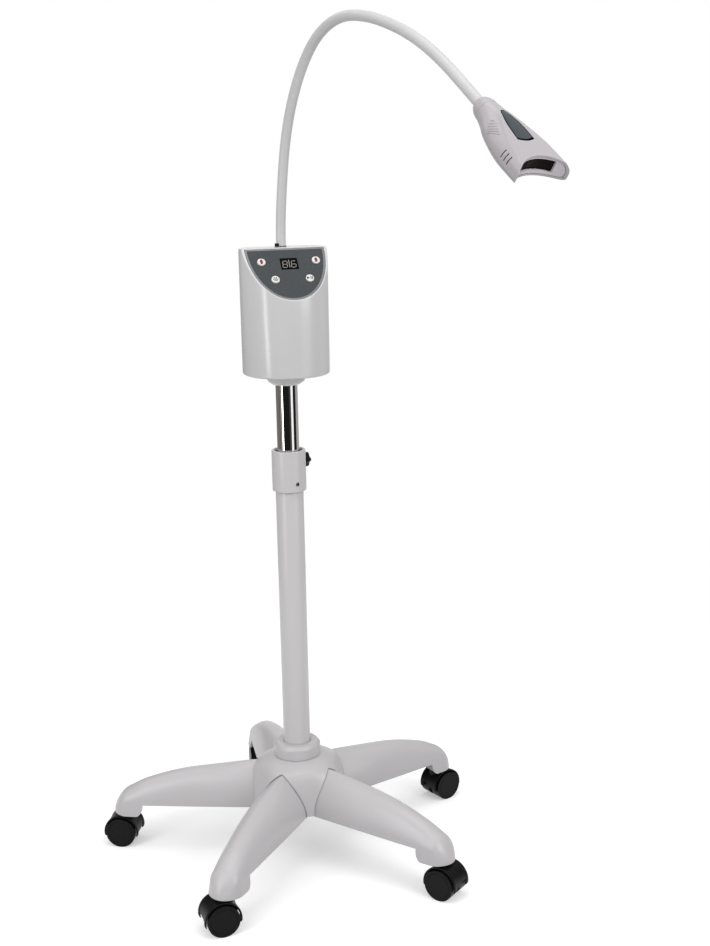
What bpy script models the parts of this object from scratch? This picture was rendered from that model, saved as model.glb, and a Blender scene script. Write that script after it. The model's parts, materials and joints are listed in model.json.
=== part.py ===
"""Free-standing teeth whitening lamp on a five-leg caster base.

Metres, +Z up, the control panel faces -Y. The floor is z = 0 and the finished model is centred over
the origin. Everything is worked out from the sizes named below.
"""
import math

import bmesh
import bpy
from mathutils import Matrix, Vector

# General fits and mesh fineness
SEAT_GAP = 0.0003
RUN_GAP = 0.0005
OVERRUN = 0.02
MERGE = 0.00001
ROUND_STEPS = 32
SMALL_STEPS = 16

# Base
LEG_COUNT = 5
LEG_START_ANGLE = math.radians(16.7)
LEG_REACH = 0.247
LEG_WALL = 0.0025
LEG_UNDERSIDE_RISE = 0.021
LEG_UNDERSIDE_DROP = 0.005
LEG_ROOT_RISE = 0.078
LEG_END_RISE = 0.0348
LEG_ROOT_SETBACK = 0.003926
LEG_LIP = 0.002
LEG_SHOULDER_HALF_WIDTH = 0.037
LEG_END_HALF_WIDTH = 0.0207
LEG_SKIRT_FLARE_SHARE = 0.18
LEG_CAP_DEPTH = 0.0205
LEG_ARCH_POWER = 2.0
LEG_ARCH_STEPS = 8
LEG_SPACE_RINGS = 5
CREST_FALL_SHARES = [(0.0, 0.0), (0.10, 0.03), (0.32, 0.18), (0.61, 0.36), (0.87, 0.70), (1.0, 1.0)]
LEG_STATION_SHARES = [0.28, 0.56, 0.82, 1.0]
CAP_SHARES = [0.45, 0.76, 0.93, 0.985]

HUB_COVER_WALL = 0.003
HUB_COVER_CROWN = 0.0105
HUB_COVER_SKIRT = 0.082
HUB_COVER_NECK = 0.034
HUB_COVER_SHARES = [(0.0, 0.0, 0.0), (0.26, 0.07, 0.03), (0.54, 0.19, 0.07), (0.76, 0.45, 0.11),
                    (0.93, 0.80, 0.13), (1.0, 1.0, 0.13)]
HUB_COVER_SECTORS = 6
HUB_RADIUS = 0.028
HUB_RISE = 0.001
HUB_FLOOR = 0.010
ARM_HALF_WIDTH = 0.008
ARM_RISE = 0.001
ARM_SEAT = 0.0016
SOCKET_RADIUS = 0.0105
BOLT_RADIUS = 0.004
BOLT_HEAD_RADIUS = 0.008
BOLT_HEAD_HEIGHT = 0.0055
TUBE_PLUG = 0.008

COLLAR_RADIUS = 0.033
COLLAR_SHOULDER_RADIUS = 0.029
COLLAR_HEIGHT = 0.0195
COLLAR_STEP = 0.004

# Casters
WHEEL_RADIUS = 0.0217
WHEEL_WIDTH = 0.0165
WHEEL_EDGE = 0.003
WHEEL_STEPS = 20
WEB_HALF_WIDTH = 0.0035
AXLE_RADIUS = 0.003
FENDER_GAP = 0.0012
FENDER_WALL = 0.0021
CASTER_CLEARANCE = 0.0036
CASTER_TRAIL = 0.009
CASTER_STEM_RADIUS = 0.0055
CASTER_STEM_HEIGHT = 0.020
CASTER_BOSS_RADIUS = 0.0095
CASTER_TURNS = [math.radians(a) for a in (20.0, 83.0, 155.0, 184.0, 308.0)]
FENDER_END = math.radians(-14.0)
FENDER_STEPS = 12

# Column
OUTER_TUBE_RADIUS = 0.019
OUTER_TUBE_WALL = 0.0015
OUTER_TUBE_LENGTH = 0.4912
SLEEVE_RADIUS = 0.0232
SLEEVE_LENGTH = 0.0565
SLEEVE_RISE = 0.007
SLEEVE_CHAMFER = 0.003
INNER_TUBE_RADIUS = 0.015
INNER_TUBE_WALL = 0.0015
INNER_TUBE_OVERLAP = 0.299
BUSH_LENGTH = 0.045
BUSH_FLANGE = 0.003
KNOB_ANGLE = math.radians(33.0)
KNOB_DROP = 0.019
KNOB_RADIUS = 0.0112
KNOB_LOBE = 0.0010
KNOB_LOBES = 6
KNOB_THICKNESS = 0.008
KNOB_NECK_RADIUS = 0.0055
KNOB_NECK_LENGTH = 0.003
STUD_RADIUS = 0.003
SCREW_ANGLE = math.radians(-75.0)
SCREW_RISE = 0.0115
SCREW_RADIUS = 0.0025
SCREW_PROUD = 0.0005

# Control box
MAST_SHOWN = 0.1052
BOX_HEIGHT = 0.1668
BOX_HALF_WIDTH = 0.058
BOX_FRONT_DEPTH = 0.062
BOX_BACK_DEPTH = 0.033
BOX_BACK_CURVE_DEPTH = 0.035
BOX_PARTING = -0.002
BOX_WALL = 0.0025
BOX_EDGE = 0.003
BOX_OUTLINE_STEPS = 18
BOX_FRONT_POWER = 2.1
BOX_BACK_POWER = 3.2
FLANGE_RADIUS = 0.028
FLANGE_HEIGHT = 0.0152
FLANGE_FOOT_RADIUS = 0.0185
FLANGE_SHARES = [(1.0, 0.0), (0.97, 0.30), (0.86, 0.72)]
SOCKET_HEIGHT = 0.055
SOCKET_WALL = 0.0035
SOCKET_CAP = 0.003

PANEL_TOP_Y = -0.0075
PANEL_SLANT = math.radians(41.0)
PANEL_HALF_WIDTH = 0.0535
PANEL_LENGTH = 0.0825
PANEL_TOP_INSET = 0.0015
PANEL_POWER = 2.1
PANEL_THICKNESS = 0.003
PANEL_BORDER = 0.003
PANEL_STEPS = 22
FILM_THICKNESS = 0.0006
BUTTON_RADIUS = 0.0060
BUTTON_CAP = 0.0031
BUTTON_PROUD = 0.0016
BUTTON_CROWN_SHARE = 0.85
KEY_SHIFT = 0.0022
BUTTON_TRAVEL = 0.0006
BUTTON_STEM_RADIUS = 0.0030
UPPER_BUTTON_X = 0.0367
UPPER_BUTTON_DROP = 0.0230
LOWER_BUTTON_X = 0.0230
LOWER_BUTTON_DROP = 0.0515
DISPLAY_WIDTH = 0.022
DISPLAY_HEIGHT = 0.0165
DISPLAY_DROP = 0.0268
BOARD_DEPTH = 0.0125
BOARD_THICKNESS = 0.0016
BOARD_HALF_WIDTH = 0.042
BOARD_TOP_DROP = 0.010
BOARD_HEIGHT = 0.052
SWITCH_RADIUS = 0.0025
STANDOFF_RADIUS = 0.003

SUPPLY_WIDTH = 0.062
SUPPLY_DEPTH = 0.020
SUPPLY_HEADROOM = 0.028
SUPPLY_CLEARANCE = 0.015
INLET_X = -0.020
SWITCH_X = 0.018
INLET_Z = 0.030
INLET_WIDTH = 0.027
INLET_HEIGHT = 0.020
INLET_DEPTH = 0.014
INLET_LIP = 0.0025
INLET_WALL = 0.002
INLET_BACK = 0.004
ROCKER_WIDTH = 0.012
ROCKER_RADIUS = 0.009
ROCKER_TILT = math.radians(8.0)
ROCKER_SINK = 0.0045
ROCKER_FACE = 0.0083
ROCKER_STEPS = 8

# Gooseneck
HOSE_RADIUS = 0.00675
HOSE_ROOT_X = 0.0023
HOSE_ROOT_Y = 0.0162
HOSE_TAIL = 0.016
HOSE_LENGTH = 0.629
HOSE_NOSE = 0.0045
HOSE_LINKS = 6
HOSE_AZIMUTH = math.radians(-72.7)
HOSE_TURNS = [math.radians(a) for a in (7.5, 3.0, 9.0, 11.5, 14.5, 25.0, 24.0, 10.5, 6.5, 8.5, 6.5, 1.0)]
HOSE_STEPS = 3
HOSE_HOLE_GAP = 0.001
JOINT_BALL_GAP = 0.0003
JOINT_CUP_GAP = 0.0006
BALL_STEPS = 12
GLAND_RADIUS = 0.012
GLAND_LENGTH = 0.012

# Lamp head: along the arm, from the arm's end
NECK_START_RADIUS = 0.0092
NECK_END_RADIUS = 0.0135
NECK_LENGTH = 0.014
NECK_BORE_DEPTH = 0.0105
NECK_SHARES = [(0.76, 0.12), (0.93, 0.45), (1.0, 0.80)]
HEAD_END = 0.1225
HEAD_YAW = math.radians(1.5)
HEAD_HALF_WIDTH = 0.0355
HEAD_TOP = 0.0155
HEAD_BELLY = 0.0175
HEAD_WALL = 0.002
HEAD_SECTION_STEPS = 4
HEAD_SHARES = [(0.0, 0.39, 0.87, 0.60, 0.80, 0.0, 0.77, 2.0), (0.12, 0.49, 0.95, 0.45, 0.88, 0.4, 0.885, 2.3),
               (0.24, 0.64, 1.0, 0.42, 0.96, 0.9, 0.985, 2.6), (0.44, 0.82, 0.95, 0.62, 0.94, 0.8, 1.0, 3.0),
               (0.64, 0.93, 0.86, 0.77, 0.92, 0.5, 0.93, 3.8), (0.84, 0.985, 0.77, 0.83, 0.90, 0.2, 0.74, 5.0),
               (1.0, 1.0, 0.70, 0.87, 0.88, 0.1, 0.60, 7.0)]
HEAD_HOLLOW_SHARE = 0.5
HEAD_HOLLOW_POWER = 2.2
HEAD_EDGE_POWER = 4.0
HEAD_ROUND_POWER = 1.2
HEAD_SPLIT = -0.0065
MOUTH_RECESS = 0.0175
MOUTH_FRAME_SET_BACK = 0.0008
MOUTH_FRAME_DEPTH = 0.034
MOUTH_FRAME_WALL = 0.0035
APERTURE_HALF_WIDTH = 0.0235
APERTURE_HALF_HEIGHT = 0.0066
WINDOW_START = 0.032
WINDOW_END = 0.079
WINDOW_TIP_HALF_WIDTH = 0.003
WINDOW_END_HALF_WIDTH = 0.0115
WINDOW_END_BULGE = 0.003
WINDOW_TIP_SHARE = 0.5
WINDOW_BULGE_SHARES = [(0.5, 0.75), (0.0, 1.0), (-0.5, 0.75)]
WINDOW_THICKNESS = 0.0016
FILTER_THICKNESS = 0.002
FILTER_MARGIN = 0.0015
LED_LENGTH = 0.022
LED_HALF_WIDTH = 0.019
LED_HALF_HEIGHT = 0.009
VENT_COUNT = 3
VENT_START = 0.0878
VENT_PITCH = 0.006
VENT_WIDTH = 0.0016
VENT_HALF_LENGTH = 0.0045
VENT_RISE = 0.0033

# Colours, taken from the object's own finishes
COLOURS = {
    "shell_white": ((0.78, 0.77, 0.78), 0.35, 0.0),
    "base_white": ((0.70, 0.69, 0.70), 0.38, 0.0),
    "column_white": ((0.72, 0.71, 0.72), 0.35, 0.0),
    "hose_grey": ((0.60, 0.60, 0.61), 0.5, 0.0),
    "chrome": ((0.80, 0.80, 0.81), 0.12, 1.0),
    "steel": ((0.50, 0.50, 0.52), 0.4, 1.0),
    "cast_metal": ((0.42, 0.42, 0.43), 0.5, 1.0),
    "black_plastic": ((0.015, 0.015, 0.016), 0.45, 0.0),
    "panel_border": ((0.28, 0.29, 0.31), 0.45, 0.0),
    "panel_film": ((0.10, 0.11, 0.12), 0.5, 0.0),
    "button_white": ((0.80, 0.79, 0.78), 0.4, 0.0),
    "dark_glass": ((0.02, 0.025, 0.03), 0.1, 0.0),
    "board_green": ((0.05, 0.20, 0.10), 0.5, 0.0),
    "amber_filter": ((0.60, 0.20, 0.05), 0.15, 0.0),
}

# Sizes that follow from those above
LEG_PITCH = 2 * math.pi / LEG_COUNT
LEG_MEETING = LEG_SHOULDER_HALF_WIDTH / math.tan(LEG_PITCH / 2)
LEG_ROOT_RADIUS = LEG_MEETING - LEG_ROOT_SETBACK
AXLE_HEIGHT = WHEEL_RADIUS * math.cos(math.pi / WHEEL_STEPS)
FENDER_INNER = WHEEL_RADIUS + FENDER_GAP
FENDER_OUTER = FENDER_INNER + FENDER_WALL
LEG_RIM_HEIGHT = AXLE_HEIGHT + FENDER_OUTER + CASTER_CLEARANCE
LEG_UNDERSIDE = LEG_RIM_HEIGHT + LEG_UNDERSIDE_RISE
LEG_CREST_ROOT = LEG_RIM_HEIGHT + LEG_ROOT_RISE
LEG_CREST_END = LEG_RIM_HEIGHT + LEG_END_RISE
HUB_COVER_TOP = LEG_CREST_ROOT + HUB_COVER_CROWN
HUB_COVER_BOTTOM = LEG_UNDERSIDE + ARM_RISE
HUB_BOTTOM = HUB_COVER_BOTTOM + HUB_RISE
ARM_BOTTOM = LEG_UNDERSIDE + ARM_RISE
WHEEL_INNER_FACE = WEB_HALF_WIDTH + RUN_GAP
HOOD_HALF_WIDTH = WHEEL_INNER_FACE + WHEEL_WIDTH - WHEEL_EDGE
SOCKET_BORE = CASTER_STEM_RADIUS + RUN_GAP
CASTER_BOSS_TOP = LEG_RIM_HEIGHT + RUN_GAP
STEM_TOP = CASTER_BOSS_TOP + CASTER_STEM_HEIGHT
TUBE_BORE = OUTER_TUBE_RADIUS + SEAT_GAP
TUBE_BOTTOM = HUB_BOTTOM + HUB_FLOOR + SEAT_GAP
OUTER_TUBE_TOP = TUBE_BOTTOM + OUTER_TUBE_LENGTH
SLEEVE_TOP = OUTER_TUBE_TOP + SLEEVE_RISE
SLEEVE_BOTTOM = SLEEVE_TOP - SLEEVE_LENGTH
KNOB_HEIGHT = SLEEVE_TOP - KNOB_DROP
SCREW_HEIGHT = SLEEVE_BOTTOM + SCREW_RISE
INNER_TUBE_BOTTOM = OUTER_TUBE_TOP - INNER_TUBE_OVERLAP
COLLAR_BOTTOM = HUB_COVER_TOP + SEAT_GAP
OUTER_TUBE_BORE = OUTER_TUBE_RADIUS - OUTER_TUBE_WALL
BUSH_OUTER = OUTER_TUBE_BORE - SEAT_GAP
BUSH_BORE = INNER_TUBE_RADIUS + RUN_GAP
STUD_HOLE = STUD_RADIUS + RUN_GAP
KNOB_FACE = SLEEVE_RADIUS + SEAT_GAP
BOX_BOTTOM = SLEEVE_TOP + MAST_SHOWN
BOX_TOP = BOX_BOTTOM + BOX_HEIGHT
SUPPLY_BASE = SOCKET_HEIGHT + SUPPLY_CLEARANCE
SUPPLY_TOP = BOX_HEIGHT - BOX_WALL - SEAT_GAP - GLAND_LENGTH - SUPPLY_HEADROOM
SOCKET_OUTER = INNER_TUBE_RADIUS + SEAT_GAP + SOCKET_WALL
SOCKET_TOP = BOX_BOTTOM + SOCKET_HEIGHT
INNER_TUBE_TOP = SOCKET_TOP - SOCKET_CAP - SEAT_GAP
BOX_BACK_FACE = BOX_PARTING + BOX_BACK_DEPTH
HEAD_LENGTH = HEAD_END - NECK_LENGTH
MOUTH_FRAME_START = HEAD_END - MOUTH_FRAME_DEPTH
MOUTH_RADIUS = (HEAD_HALF_WIDTH ** 2 + MOUTH_RECESS ** 2) / (2 * MOUTH_RECESS)
MOUTH_CENTRE = HEAD_END - MOUTH_RECESS + MOUTH_RADIUS


def clear_scene():
    for obj in list(bpy.data.objects):
        bpy.data.objects.remove(obj, do_unlink=True)


def new_collection(name):
    made = bpy.data.collections.new(name)
    bpy.context.scene.collection.children.link(made)
    return made


def new_material(name):
    colour, roughness, metallic = COLOURS[name]
    made = bpy.data.materials.new(name)
    made.use_nodes = True
    shader = made.node_tree.nodes["Principled BSDF"]
    shader.inputs["Base Color"].default_value = (*colour, 1.0)
    shader.inputs["Roughness"].default_value = roughness
    shader.inputs["Metallic"].default_value = metallic
    made.diffuse_color = (*colour, 1.0)
    return made


clear_scene()
PARTS = new_collection("teeth_whitening_lamp")
CUTTERS = new_collection("lamp_cutters")
MATERIALS = {name: new_material(name) for name in COLOURS}


def new_frame(name, parent=None, place=Matrix.Identity(4)):
    """An empty that carries pieces: its own place is given in its parent's frame."""
    frame = bpy.data.objects.new(name, None)
    PARTS.objects.link(frame)
    frame.parent = parent
    frame.matrix_basis = place
    return frame


def shift(x, y, z):
    return Matrix.Translation((x, y, z))


def turn(angle, axis):
    return Matrix.Rotation(angle, 4, axis)


def facing(x, y, z, angle):
    """A place whose local Z points outwards, level, at an angle round the column."""
    return shift(x, y, z) @ turn(angle, "Z") @ turn(math.pi / 2, "Y")


def piece_from_mesh(name, mesh, parent, material, place=Matrix.Identity(4)):
    obj = bpy.data.objects.new(name, mesh)
    PARTS.objects.link(obj)
    obj.parent = parent
    obj.matrix_basis = place
    if material:
        mesh.materials.clear()
        mesh.materials.append(MATERIALS[material])
    return obj


def smooth(obj, angle=math.radians(35)):
    obj.data.shade_smooth()
    obj.data.set_sharp_from_angle(angle=angle)


def as_cutter(obj):
    PARTS.objects.unlink(obj)
    CUTTERS.objects.link(obj)
    obj.hide_render = True
    obj.display_type = "WIRE"
    return obj


def combine(obj, other, operation):
    """Cut, join or intersect with another object, which becomes a hidden cutter."""
    if other.name not in CUTTERS.objects:
        as_cutter(other)
    step = obj.modifiers.new(other.name, "BOOLEAN")
    step.operation = operation
    step.solver = "EXACT"
    step.object = other
    return obj


def turned(name, outline, parent, material, place=Matrix.Identity(4), steps=ROUND_STEPS):
    """A turned piece: (radius, height) points from the top down the outside, and up any bore."""
    mesh = bpy.data.meshes.new(name)
    points = [(radius, 0.0, height) for radius, height in outline]
    count = len(points)
    edges = [(i, i + 1) for i in range(count - 1) if outline[i][0] > 0 or outline[i + 1][0] > 0]
    if outline[0][0] > 0:
        edges.append((count - 1, 0))
    mesh.from_pydata(points, edges, [])
    obj = piece_from_mesh(name, mesh, parent, material, place)
    screw = obj.modifiers.new("turning", "SCREW")
    screw.axis = "Z"
    screw.angle = 2 * math.pi
    screw.steps = steps
    screw.render_steps = steps
    screw.use_merge_vertices = True
    screw.merge_threshold = MERGE
    screw.use_smooth_shade = True
    return obj


def cylinder(name, radius, low, high, parent, material, place=Matrix.Identity(4), steps=SMALL_STEPS):
    return turned(name, [(0, high), (radius, high), (radius, low), (0, low)], parent, material, place, steps)


def box(name, low, high, parent, material, place=Matrix.Identity(4)):
    """A block between two corners, given in the frame of its place."""
    mesh = bpy.data.meshes.new(name)
    shape = bmesh.new()
    bmesh.ops.create_cube(shape, size=1.0)
    size = [b - a for a, b in zip(low, high)]
    middle = [(a + b) / 2 for a, b in zip(low, high)]
    bmesh.ops.scale(shape, vec=size, verts=shape.verts)
    bmesh.ops.translate(shape, vec=middle, verts=shape.verts)
    shape.to_mesh(mesh)
    shape.free()
    return piece_from_mesh(name, mesh, parent, material, place)


def curve_as_mesh(curve_object, name, parent, material, place):
    """The mesh of a curve, with its loose caps welded on."""
    bpy.context.view_layer.update()
    evaluated = curve_object.evaluated_get(bpy.context.evaluated_depsgraph_get())
    mesh = bpy.data.meshes.new_from_object(evaluated)
    mesh.name = name
    shape = bmesh.new()
    shape.from_mesh(mesh)
    bmesh.ops.remove_doubles(shape, verts=shape.verts, dist=MERGE)
    bmesh.ops.recalc_face_normals(shape, faces=shape.faces)
    shape.to_mesh(mesh)
    shape.free()
    bpy.data.objects.remove(curve_object, do_unlink=True)
    return piece_from_mesh(name, mesh, parent, material, place)


def prism(name, outline, low, high, parent, material, place=Matrix.Identity(4)):
    """A flat outline of (x, y) points given thickness between two heights."""
    data = bpy.data.curves.new(name + "_outline", "CURVE")
    data.dimensions = "2D"
    data.fill_mode = "BOTH"
    data.extrude = (high - low) / 2
    line = data.splines.new("POLY")
    line.points.add(len(outline) - 1)
    for point, (x, y) in zip(line.points, outline):
        point.co = (x, y, 0, 1)
    line.use_cyclic_u = True
    flat = bpy.data.objects.new(name + "_outline", data)
    PARTS.objects.link(flat)
    return curve_as_mesh(flat, name, parent, material, place @ shift(0, 0, (low + high) / 2))


def loft(name, rings, parent, material, close_ends=True, place=Matrix.Identity(4), closed=True):
    """A skin over rings of points that all have the same number of points."""
    mesh = bpy.data.meshes.new(name)
    shape = bmesh.new()
    made = [[shape.verts.new(point) for point in ring] for ring in rings]
    count = len(rings[0])
    spans = count if closed else count - 1
    for ring, following in zip(made, made[1:]):
        for i in range(spans):
            k = (i + 1) % count
            shape.faces.new((ring[i], ring[k], following[k], following[i]))
    bmesh.ops.triangulate(shape, faces=shape.faces, quad_method="FIXED")
    if close_ends:
        shape.faces.new(made[0])
        shape.faces.new(reversed(made[-1]))
    bmesh.ops.recalc_face_normals(shape, faces=shape.faces)
    shape.to_mesh(mesh)
    shape.free()
    return piece_from_mesh(name, mesh, parent, material, place)


def power(value, exponent):
    return math.copysign(abs(value) ** exponent, value)


def between(table, share):
    """A value read from rows of (share, value) by straight lines."""
    for (a, low), (b, high) in zip(table, table[1:]):
        if share <= b:
            return low + (high - low) * (share - a) / (b - a)
    return table[-1][1]


# Base: legs

def leg_half_width(radius):
    """Half the width of a leg at its lower edge, at a distance from the column."""
    wedge = radius * math.tan(LEG_PITCH / 2) - SEAT_GAP - LEG_SKIRT_FLARE_SHARE * LEG_LIP
    share = (radius - LEG_ROOT_RADIUS) / (LEG_REACH - LEG_ROOT_RADIUS)
    taper = LEG_SHOULDER_HALF_WIDTH + (LEG_END_HALF_WIDTH - LEG_SHOULDER_HALF_WIDTH) * max(share, 0) ** 1.15
    return min(wedge, taper)


def leg_crest(radius):
    share = (radius - LEG_ROOT_RADIUS) / (LEG_REACH - LEG_ROOT_RADIUS)
    return LEG_CREST_ROOT + (LEG_CREST_END - LEG_CREST_ROOT) * between(CREST_FALL_SHARES, share)


def leg_low(radius):
    share = (radius - LEG_ROOT_RADIUS) / (LEG_REACH - LEG_ROOT_RADIUS)
    return LEG_UNDERSIDE - LEG_UNDERSIDE_DROP * share


def leg_station(radius):
    """Half width, crest, foot of the arch and lower edge of a leg at a distance from the column."""
    if radius <= LEG_REACH:
        low = leg_low(radius)
        edge = low if radius < LEG_REACH - LEG_CAP_DEPTH else LEG_RIM_HEIGHT
        return leg_half_width(radius), leg_crest(radius), low + LEG_LIP, edge
    part = math.sqrt(max(1 - ((radius - LEG_REACH) / LEG_CAP_DEPTH) ** 2, 0))
    crest = LEG_RIM_HEIGHT + (LEG_CREST_END - LEG_RIM_HEIGHT) * part
    foot = LEG_RIM_HEIGHT + (leg_low(LEG_REACH) + LEG_LIP - LEG_RIM_HEIGHT) * part
    return LEG_END_HALF_WIDTH * part, crest, foot, LEG_RIM_HEIGHT


def arch_height(radius, across, inset):
    """Height of the arch inside or outside the leg skin, off its middle line."""
    half, crest, foot, _ = leg_station(radius)
    share = min(across / (half - inset), 1)
    part = (1 - share ** LEG_ARCH_POWER) ** (1 / LEG_ARCH_POWER)
    return foot + (crest - foot - inset) * part


def leg_radii():
    step = LEG_REACH - LEG_CAP_DEPTH
    inner = [LEG_ROOT_RADIUS, LEG_MEETING, LEG_MEETING + LEG_SHOULDER_HALF_WIDTH / 2]
    span = step - inner[-1]
    inner += [inner[-1] + span * share for share in LEG_STATION_SHARES]
    outer = [step + SEAT_GAP, (step + LEG_REACH) / 2, LEG_REACH]
    return inner[:-1] + [step - SEAT_GAP] + outer + [LEG_REACH + LEG_CAP_DEPTH * s for s in CAP_SHARES]


def leg_ring(radius, grow):
    """The leg's section: an arch that stands on two short upright skirts."""
    half, crest, foot, edge = leg_station(radius)
    spread = half + grow + LEG_SKIRT_FLARE_SHARE * (foot - edge)
    ring = [(radius, spread, edge)]
    for i in range(LEG_ARCH_STEPS + 1):
        angle = math.pi * i / LEG_ARCH_STEPS
        across = (half + grow) * power(math.cos(angle), 2 / LEG_ARCH_POWER)
        height = foot + (crest + grow - foot) * power(math.sin(angle), 2 / LEG_ARCH_POWER)
        ring.append((radius, across, max(height, foot)))
    return ring + [(radius, -spread, edge)]


def leg_place(index):
    return turn(LEG_START_ANGLE + LEG_PITCH * index, "Z")


def leg_cutter(index, root):
    """The solid space of a leg and its clearance, which the hub cover leaves free."""
    rings = []
    for radius in [LEG_ROOT_RADIUS - 3 * SEAT_GAP] + leg_radii()[:LEG_SPACE_RINGS]:
        ring = leg_ring(radius, SEAT_GAP)
        low = LEG_RIM_HEIGHT - OVERRUN
        rings.append(ring + [(radius, -ring[0][1], low), (radius, ring[0][1], low)])
    return as_cutter(loft("leg_space_%d" % index, rings, root, None, place=leg_place(index)))


def leg_cover(index, root):
    rings = [leg_ring(radius, 0) for radius in leg_radii()]
    skin = loft("leg_cover_%d" % (index + 1), rings, root, "base_white", False, leg_place(index), False)
    shape = bmesh.new()
    shape.from_mesh(skin.data)
    shape.verts.ensure_lookup_table()
    shape.faces.new(shape.verts[-len(rings[-1]):])
    bmesh.ops.recalc_face_normals(shape, faces=shape.faces)
    up = sum((f.normal for f in shape.faces), Vector())
    if up.z < 0:
        bmesh.ops.reverse_faces(shape, faces=shape.faces)
    shape.to_mesh(skin.data)
    shape.free()
    wall = skin.modifiers.new("wall", "SOLIDIFY")
    wall.thickness = LEG_WALL
    wall.offset = -1
    step = LEG_REACH - LEG_CAP_DEPTH
    top = ARM_BOTTOM - SEAT_GAP
    half, crest, foot, edge = leg_station(step + SEAT_GAP)
    wide = half + LEG_SKIRT_FLARE_SHARE * (foot - edge) - LEG_WALL / 2
    narrow = half * math.sqrt(1 - ((top - foot) / (crest - foot)) ** 2) - LEG_WALL / 2
    wall_rings = [[(x, -wide, edge), (x, wide, edge), (x, narrow, top), (x, -narrow, top)]
                  for x in (step, step + LEG_WALL)]
    cross = loft("leg_end_wall_%d" % (index + 1), wall_rings, root, None, place=leg_place(index))
    combine(skin, cross, "UNION")
    smooth(skin)
    return skin


def star_arm(index, root):
    """One arm of the steel star: a bar under the crest of the leg, with the caster socket at its end."""
    radii = [HUB_RADIUS / 2, LEG_ROOT_RADIUS] + [r for r in leg_radii() if LEG_ROOT_RADIUS < r < LEG_REACH]
    top = [(r, arch_height(max(r, LEG_ROOT_RADIUS), ARM_HALF_WIDTH, LEG_WALL) - ARM_SEAT) for r in radii]
    outline = [(top[0][0], ARM_BOTTOM)] + [(LEG_REACH, ARM_BOTTOM)] + top[::-1]
    place = leg_place(index) @ turn(math.pi / 2, "X")
    return prism("star_arm_%d" % index, outline, -ARM_HALF_WIDTH, ARM_HALF_WIDTH, root, None, place)


def socket_top():
    return arch_height(LEG_REACH + SOCKET_RADIUS, SOCKET_RADIUS / 2, LEG_WALL) - 2 * ARM_SEAT


def build_star(root):
    hub_top = HUB_COVER_TOP - HUB_COVER_WALL - SEAT_GAP
    floor = HUB_BOTTOM + HUB_FLOOR
    bolt_hole = BOLT_RADIUS + SEAT_GAP
    star = turned("star_frame", [(HUB_RADIUS, hub_top), (HUB_RADIUS, HUB_BOTTOM), (bolt_hole, HUB_BOTTOM),
                                 (bolt_hole, floor), (TUBE_BORE, floor), (TUBE_BORE, hub_top)], root, "cast_metal")
    bore = cylinder("tube_space", TUBE_BORE, floor, hub_top + OVERRUN, root, None, steps=ROUND_STEPS)
    for index in range(LEG_COUNT):
        combine(star, star_arm(index, root), "UNION")
        place = leg_place(index) @ shift(LEG_REACH, 0, 0)
        socket = cylinder("stem_socket_%d" % index, SOCKET_RADIUS, CASTER_BOSS_TOP + RUN_GAP, socket_top(),
                          root, None, place, SMALL_STEPS)
        combine(star, socket, "UNION")
    combine(star, bore, "DIFFERENCE")
    for index in range(LEG_COUNT):
        place = leg_place(index) @ shift(LEG_REACH, 0, 0) @ turn(math.pi / SMALL_STEPS, "Z")
        hole = cylinder("stem_space_%d" % index, SOCKET_BORE, LEG_RIM_HEIGHT - OVERRUN, STEM_TOP + RUN_GAP, root,
                        None, place)
        combine(star, hole, "DIFFERENCE")
    shank_top = TUBE_BOTTOM + TUBE_PLUG
    turned("hub_bolt", [(0, shank_top), (BOLT_RADIUS, shank_top), (BOLT_RADIUS, HUB_BOTTOM - SEAT_GAP),
                        (BOLT_HEAD_RADIUS, HUB_BOTTOM - SEAT_GAP),
                        (BOLT_HEAD_RADIUS, HUB_BOTTOM - SEAT_GAP - BOLT_HEAD_HEIGHT),
                        (0, HUB_BOTTOM - SEAT_GAP - BOLT_HEAD_HEIGHT)], root, "steel", steps=SMALL_STEPS)
    return star


def build_hub_cover(root):
    """The bell over the hub; the legs' spaces are cut from it, which leaves its five fingers."""
    sectors = LEG_COUNT * HUB_COVER_SECTORS
    reach = HUB_COVER_SKIRT - HUB_COVER_NECK
    fall = HUB_COVER_TOP - HUB_COVER_BOTTOM
    bore = TUBE_BORE
    rings = [[(bore * math.cos(a), bore * math.sin(a), HUB_COVER_TOP)
              for a in [2 * math.pi * i / sectors for i in range(sectors)]]]
    for out, down, dip in HUB_COVER_SHARES:
        ring = []
        for i in range(sectors):
            angle = 2 * math.pi * i / sectors
            wave = (1 - math.cos(LEG_COUNT * angle)) / 2
            radius = (HUB_COVER_NECK + reach * out) * (1 - dip * wave)
            ring.append((radius * math.cos(angle), radius * math.sin(angle), HUB_COVER_TOP - fall * down))
        rings.append(ring)
    cover = loft("hub_cover", rings, root, "base_white", False, turn(LEG_START_ANGLE, "Z"))
    shape = bmesh.new()
    shape.from_mesh(cover.data)
    if sum((f.normal for f in shape.faces), Vector()).z < 0:
        bmesh.ops.reverse_faces(shape, faces=shape.faces)
    shape.to_mesh(cover.data)
    shape.free()
    wall = cover.modifiers.new("wall", "SOLIDIFY")
    wall.thickness = HUB_COVER_WALL
    wall.offset = -1
    for index in range(LEG_COUNT):
        combine(cover, leg_cutter(index, root), "DIFFERENCE")
    smooth(cover)
    return cover


# Base: casters

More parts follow.
